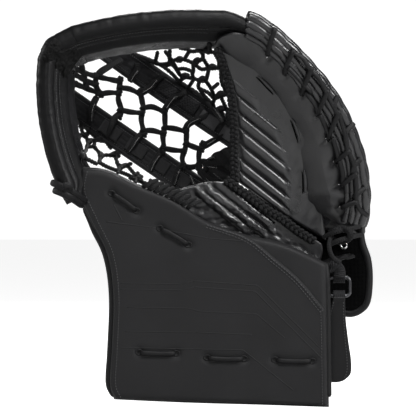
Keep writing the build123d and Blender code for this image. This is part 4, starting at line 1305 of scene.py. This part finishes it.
LOBE = [(128, 236), (137, 210), (138.5, 184), (140.5, 153), (146, 134), (147.3, 115), (145, 94), (139, 85),
    (128, 80.5), (112, 84),
        (86, 92), (52, 100), (34, 122), (26, 160), (30, 205), (44, 232), (84, 241)]
lobe_line = even(flat(LOBE + LOBE[:1]), 161)
lobe_lines = ([(34, 122), (52, 100), (86, 92), (112, 84), (128, 80.5)],
    [(44, 232), (64, 240), (84, 241), (106, 241), (128, 236)],
              [(34, 122), (26, 160), (30, 205), (44, 232)],
              [(128, 80.5), (139, 85), (145, 94), (147.3, 115), (146, 134), (140.5, 153), (138.5, 184), (137, 210),
              (128, 236)])
rim_roll = tubes("backhand_rolled_edge", STRAP_LEATHER, [[Vector((p.x, 53.5, p.z)) * 1.0 + (Vector((86, 53.5,
    160)) - Vector((p.x, 53.5, p.z))).normalized() * 3.4
                                                      for p in lobe_line]], 7.6, 12.5, around=16, square=2.4)
place_on(rim_roll, "backhand_pad", "backhand_binding")
shrunk = [[(86 + (x - 86) * 0.94, 160 + (z - 160) * 0.955) for x, z in s] for s in lobe_lines]
inside_mesh = pad("backhand_mesh_lining", MESH, shrunk, lambda x, z: 48.6 + 0.8 * rough((x, 0, z), 18, 4), 5, edge=4,
    grid=(60, 60))
place_on(inside_mesh, "backhand_pad", "backhand_mesh")
outside = pad("backhand_outer_leather", PAD_LEATHER, shrunk, lambda x, z: 52.5, 8.0, edge=5, grid=(50, 50))
place_on(outside, "backhand_pad", "backhand_foam", "backhand_skin")
turns = [[Vector((120 + 3 * cos(a), 47.2, 149 + 3 * sin(a))) for a in [2 * pi * n / 24 for n in range(25)]]]
place_on(tubes("backhand_eyelet", NICKEL_FOR_EYELET_AND_GLINTS, turns, 2.0, 1.6, around=10), "backhand_pad", "backhand_rivet")


def web_spot(u, v):
    line = even(flat([(98.5, 132), (112, 137), (126, 140)]), 20)
    p = at_line(line, v)
    fold = 1.6 * rough((u * 4, v * 4, 0), 1, 3)
    return Vector((p.x, -31 + 77 * u, p.z + fold)), Vector((0.3, 0, -1)).normalized()


web = bent_pad("backhand_web_leather", STRAP_LEATHER, web_spot, 85, 30, 3.2, edge=1.6, grid=(50, 24))
place_on(web, "cuff", "backhand_web")


# ---------------------------------------------------------------- inside for the hand
STRAP = even([Vector((x, y, 0)) for x, y in [(-82, -38.5), (-82, 10), (-78, 27), (-60, 34), (0, 35), (58, 34),
    (76, 27), (80, 10),
                                             (80, -38.5)]], 120)


def strap_spot(u, v):
    p = at_line(STRAP, u)
    a, b = at_line(STRAP, max(u - 0.01, 0)), at_line(STRAP, min(u + 0.01, 1))
    t = (b - a).normalized()
    out = Vector((-t.y, t.x, 0))
    return Vector((p.x, p.y, 98 + 38 * v)), out


strap = bent_pad("wrist_strap_webbing", WEBBING, strap_spot, 290, 38, 3.4, edge=1.5, grid=(140, 16))
place_on(strap, "cuff", "wrist_strap")
strap_seams = [spot_line(strap_spot, v, 1.8, 120, 0) for v in (0.1, 0.9)]
place_on(stitches("wrist_strap_stitches", THREAD, strap_seams), "cuff")


def stall(low, high, radius, bore):
    """A sewn tube with a rounded closed tip and a rolled mouth."""
    low, high = Vector(low), Vector(high)
    run = (high - low)
    t = run.normalized()
    s = t.orthogonal().normalized()
    w = t.cross(s)
    profile = [(bore, 0), (radius * 0.93, -1.2), (radius, 0.5), (radius, 6)]
    profile += [(radius * (1 + 0.02 * sin(n)), 6 + (run.length - 14) * n / 8) for n in range(1, 9)]
    profile += [(radius * cos(a), run.length - 8 + 8 * sin(a)) for a in [pi / 2 * n / 6 for n in range(1,
        6)]] + [(0.0, run.length)]
    inner = [(0.0, run.length - 3)] + [(bore * cos(a),
        run.length - 10 + 7 * sin(a)) for a in [pi / 2 * n / 4 for n in (3, 2, 1)]]
    inner += [(bore, run.length - 10), (bore, 0)]
    shape = profile + inner
    bm = bmesh.new()
    lay_grid(bm, list(range(len(shape))), [n / 24 for n in range(25)],
             lambda i, j: low + t * shape[i][1] + (s * cos(2 * pi * (j % 24) / 24) + w * sin(2 * pi * (j % 24) / 24)) * shape[i][0])
    return bm


STALL_RADIUS, STALL_BORE = 9.5, 8.2
THUMB_RADIUS, THUMB_BORE = 13, 11.5
stalls = []
for n in range(4):
    base = Vector((60 + 19.5 * n, 14.3 + 4.03 * n, 196 - 6 * n))
    tip = base + Vector((-4.8, -13.1 - 0.6 * n, 48.0))
    bm = stall(base, tip, STALL_RADIUS, STALL_BORE)
    stalls.append(make_piece(bm, "finger_stall_%d" % (n + 1), LINING))
for n, piece in enumerate(stalls):
    place_on(piece, "fingers", *(["finger_stalls"] if n == 0 else []))
bm = stall((-38, -25.5, 118), (-84, -25.5, 180), THUMB_RADIUS, THUMB_BORE)
place_on(make_piece(bm, "thumb_stall_sewn", LINING), "cuff", "thumb_stall")

# ---------------------------------------------------------------- CAD pieces that stay, floor, light and camera
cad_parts["strap_ring"].data.materials.clear()
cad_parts["strap_ring"].data.materials.append(STEEL)


def seen_white(name, base, strength):
    """Plain white that looks bright to the camera without lighting the object much."""
    m, tree, p = shader(name, base, 0.9, 0.0, 0.2)
    shine = node(tree, "Emission", Strength=strength)
    path = node(tree, "LightPath")
    mix = node(tree, "MixShader")
    join(tree, path, "Is Camera Ray", mix, 0)
    tree.links.new(p.outputs[0], mix.inputs[1])
    both = node(tree, "AddShader")
    tree.links.new(p.outputs[0], both.inputs[0])
    tree.links.new(shine.outputs[0], both.inputs[1])
    tree.links.new(both.outputs[0], mix.inputs[2])
    tree.links.new(mix.outputs[0], tree.nodes["Material Output"].inputs["Surface"])
    return m


white = seen_white("pale floor", (0.55, 0.55, 0.55), 0.9)
bm = bmesh.new()
bmesh.ops.create_grid(bm, x_segments=1, y_segments=1, size=12, matrix=Matrix.Translation((0, 0, -0.0005)))
floor = make_piece(bm, "floor", white, merge=0)

world = bpy.data.worlds.new("studio")
bpy.context.scene.world = world
world.use_nodes = True
dim = world.node_tree.nodes["Background"]
dim.inputs["Color"].default_value = (1, 1, 1, 1)
dim.inputs["Strength"].default_value = 0.035
bright_side = node(world.node_tree, "Background", Strength=1.1)
bright_side.inputs["Color"].default_value = (1, 1, 1, 1)
seen = node(world.node_tree, "LightPath")
pick = node(world.node_tree, "MixShader")
join(world.node_tree, seen, "Is Camera Ray", pick, 0)
world.node_tree.links.new(dim.outputs[0], pick.inputs[1])
world.node_tree.links.new(bright_side.outputs[0], pick.inputs[2])
world.node_tree.links.new(pick.outputs[0], world.node_tree.nodes["World Output"].inputs["Surface"])


def area_light(name, spot, aim, size, power, tall=None):
    data = bpy.data.lights.new(name, "AREA")
    data.shape = "RECTANGLE"
    data.size, data.size_y = size, tall or size
    data.energy = power
    obj = bpy.data.objects.new(name, data)
    bpy.context.scene.collection.objects.link(obj)
    obj.location = spot
    obj.rotation_euler = (Vector(aim) - Vector(spot)).to_track_quat("-Z", "Y").to_euler()


area_light("key", (0.25, -0.95, 1.7), (0.02, 0, 0.2), 0.7, 27)
area_light("side", (1.5, -0.7, 0.95), (0, 0, 0.2), 0.5, 26)
area_light("front", (-0.4, -2.1, 0.75), (0, 0, 0.18), 0.5, 7)
area_light("left", (-1.5, 0.1, 0.7), (0, 0, 0.2), 0.5, 9)
area_light("behind", (0.2, 1.6, 1.3), (0, 0, 0.2), 0.8, 30)

cam_data = bpy.data.cameras.new("camera")
cam_data.sensor_width = 36
cam_data.lens = 36 * 2.2 / 0.3802
cam = bpy.data.objects.new("camera", cam_data)
bpy.context.scene.collection.objects.link(cam)
cam.location = (-0.010, -2.257, 0.1846)
cam.rotation_euler = (pi / 2, 0, 0)
bpy.context.scene.camera = cam
bpy.context.scene.view_settings.view_transform = "Standard"
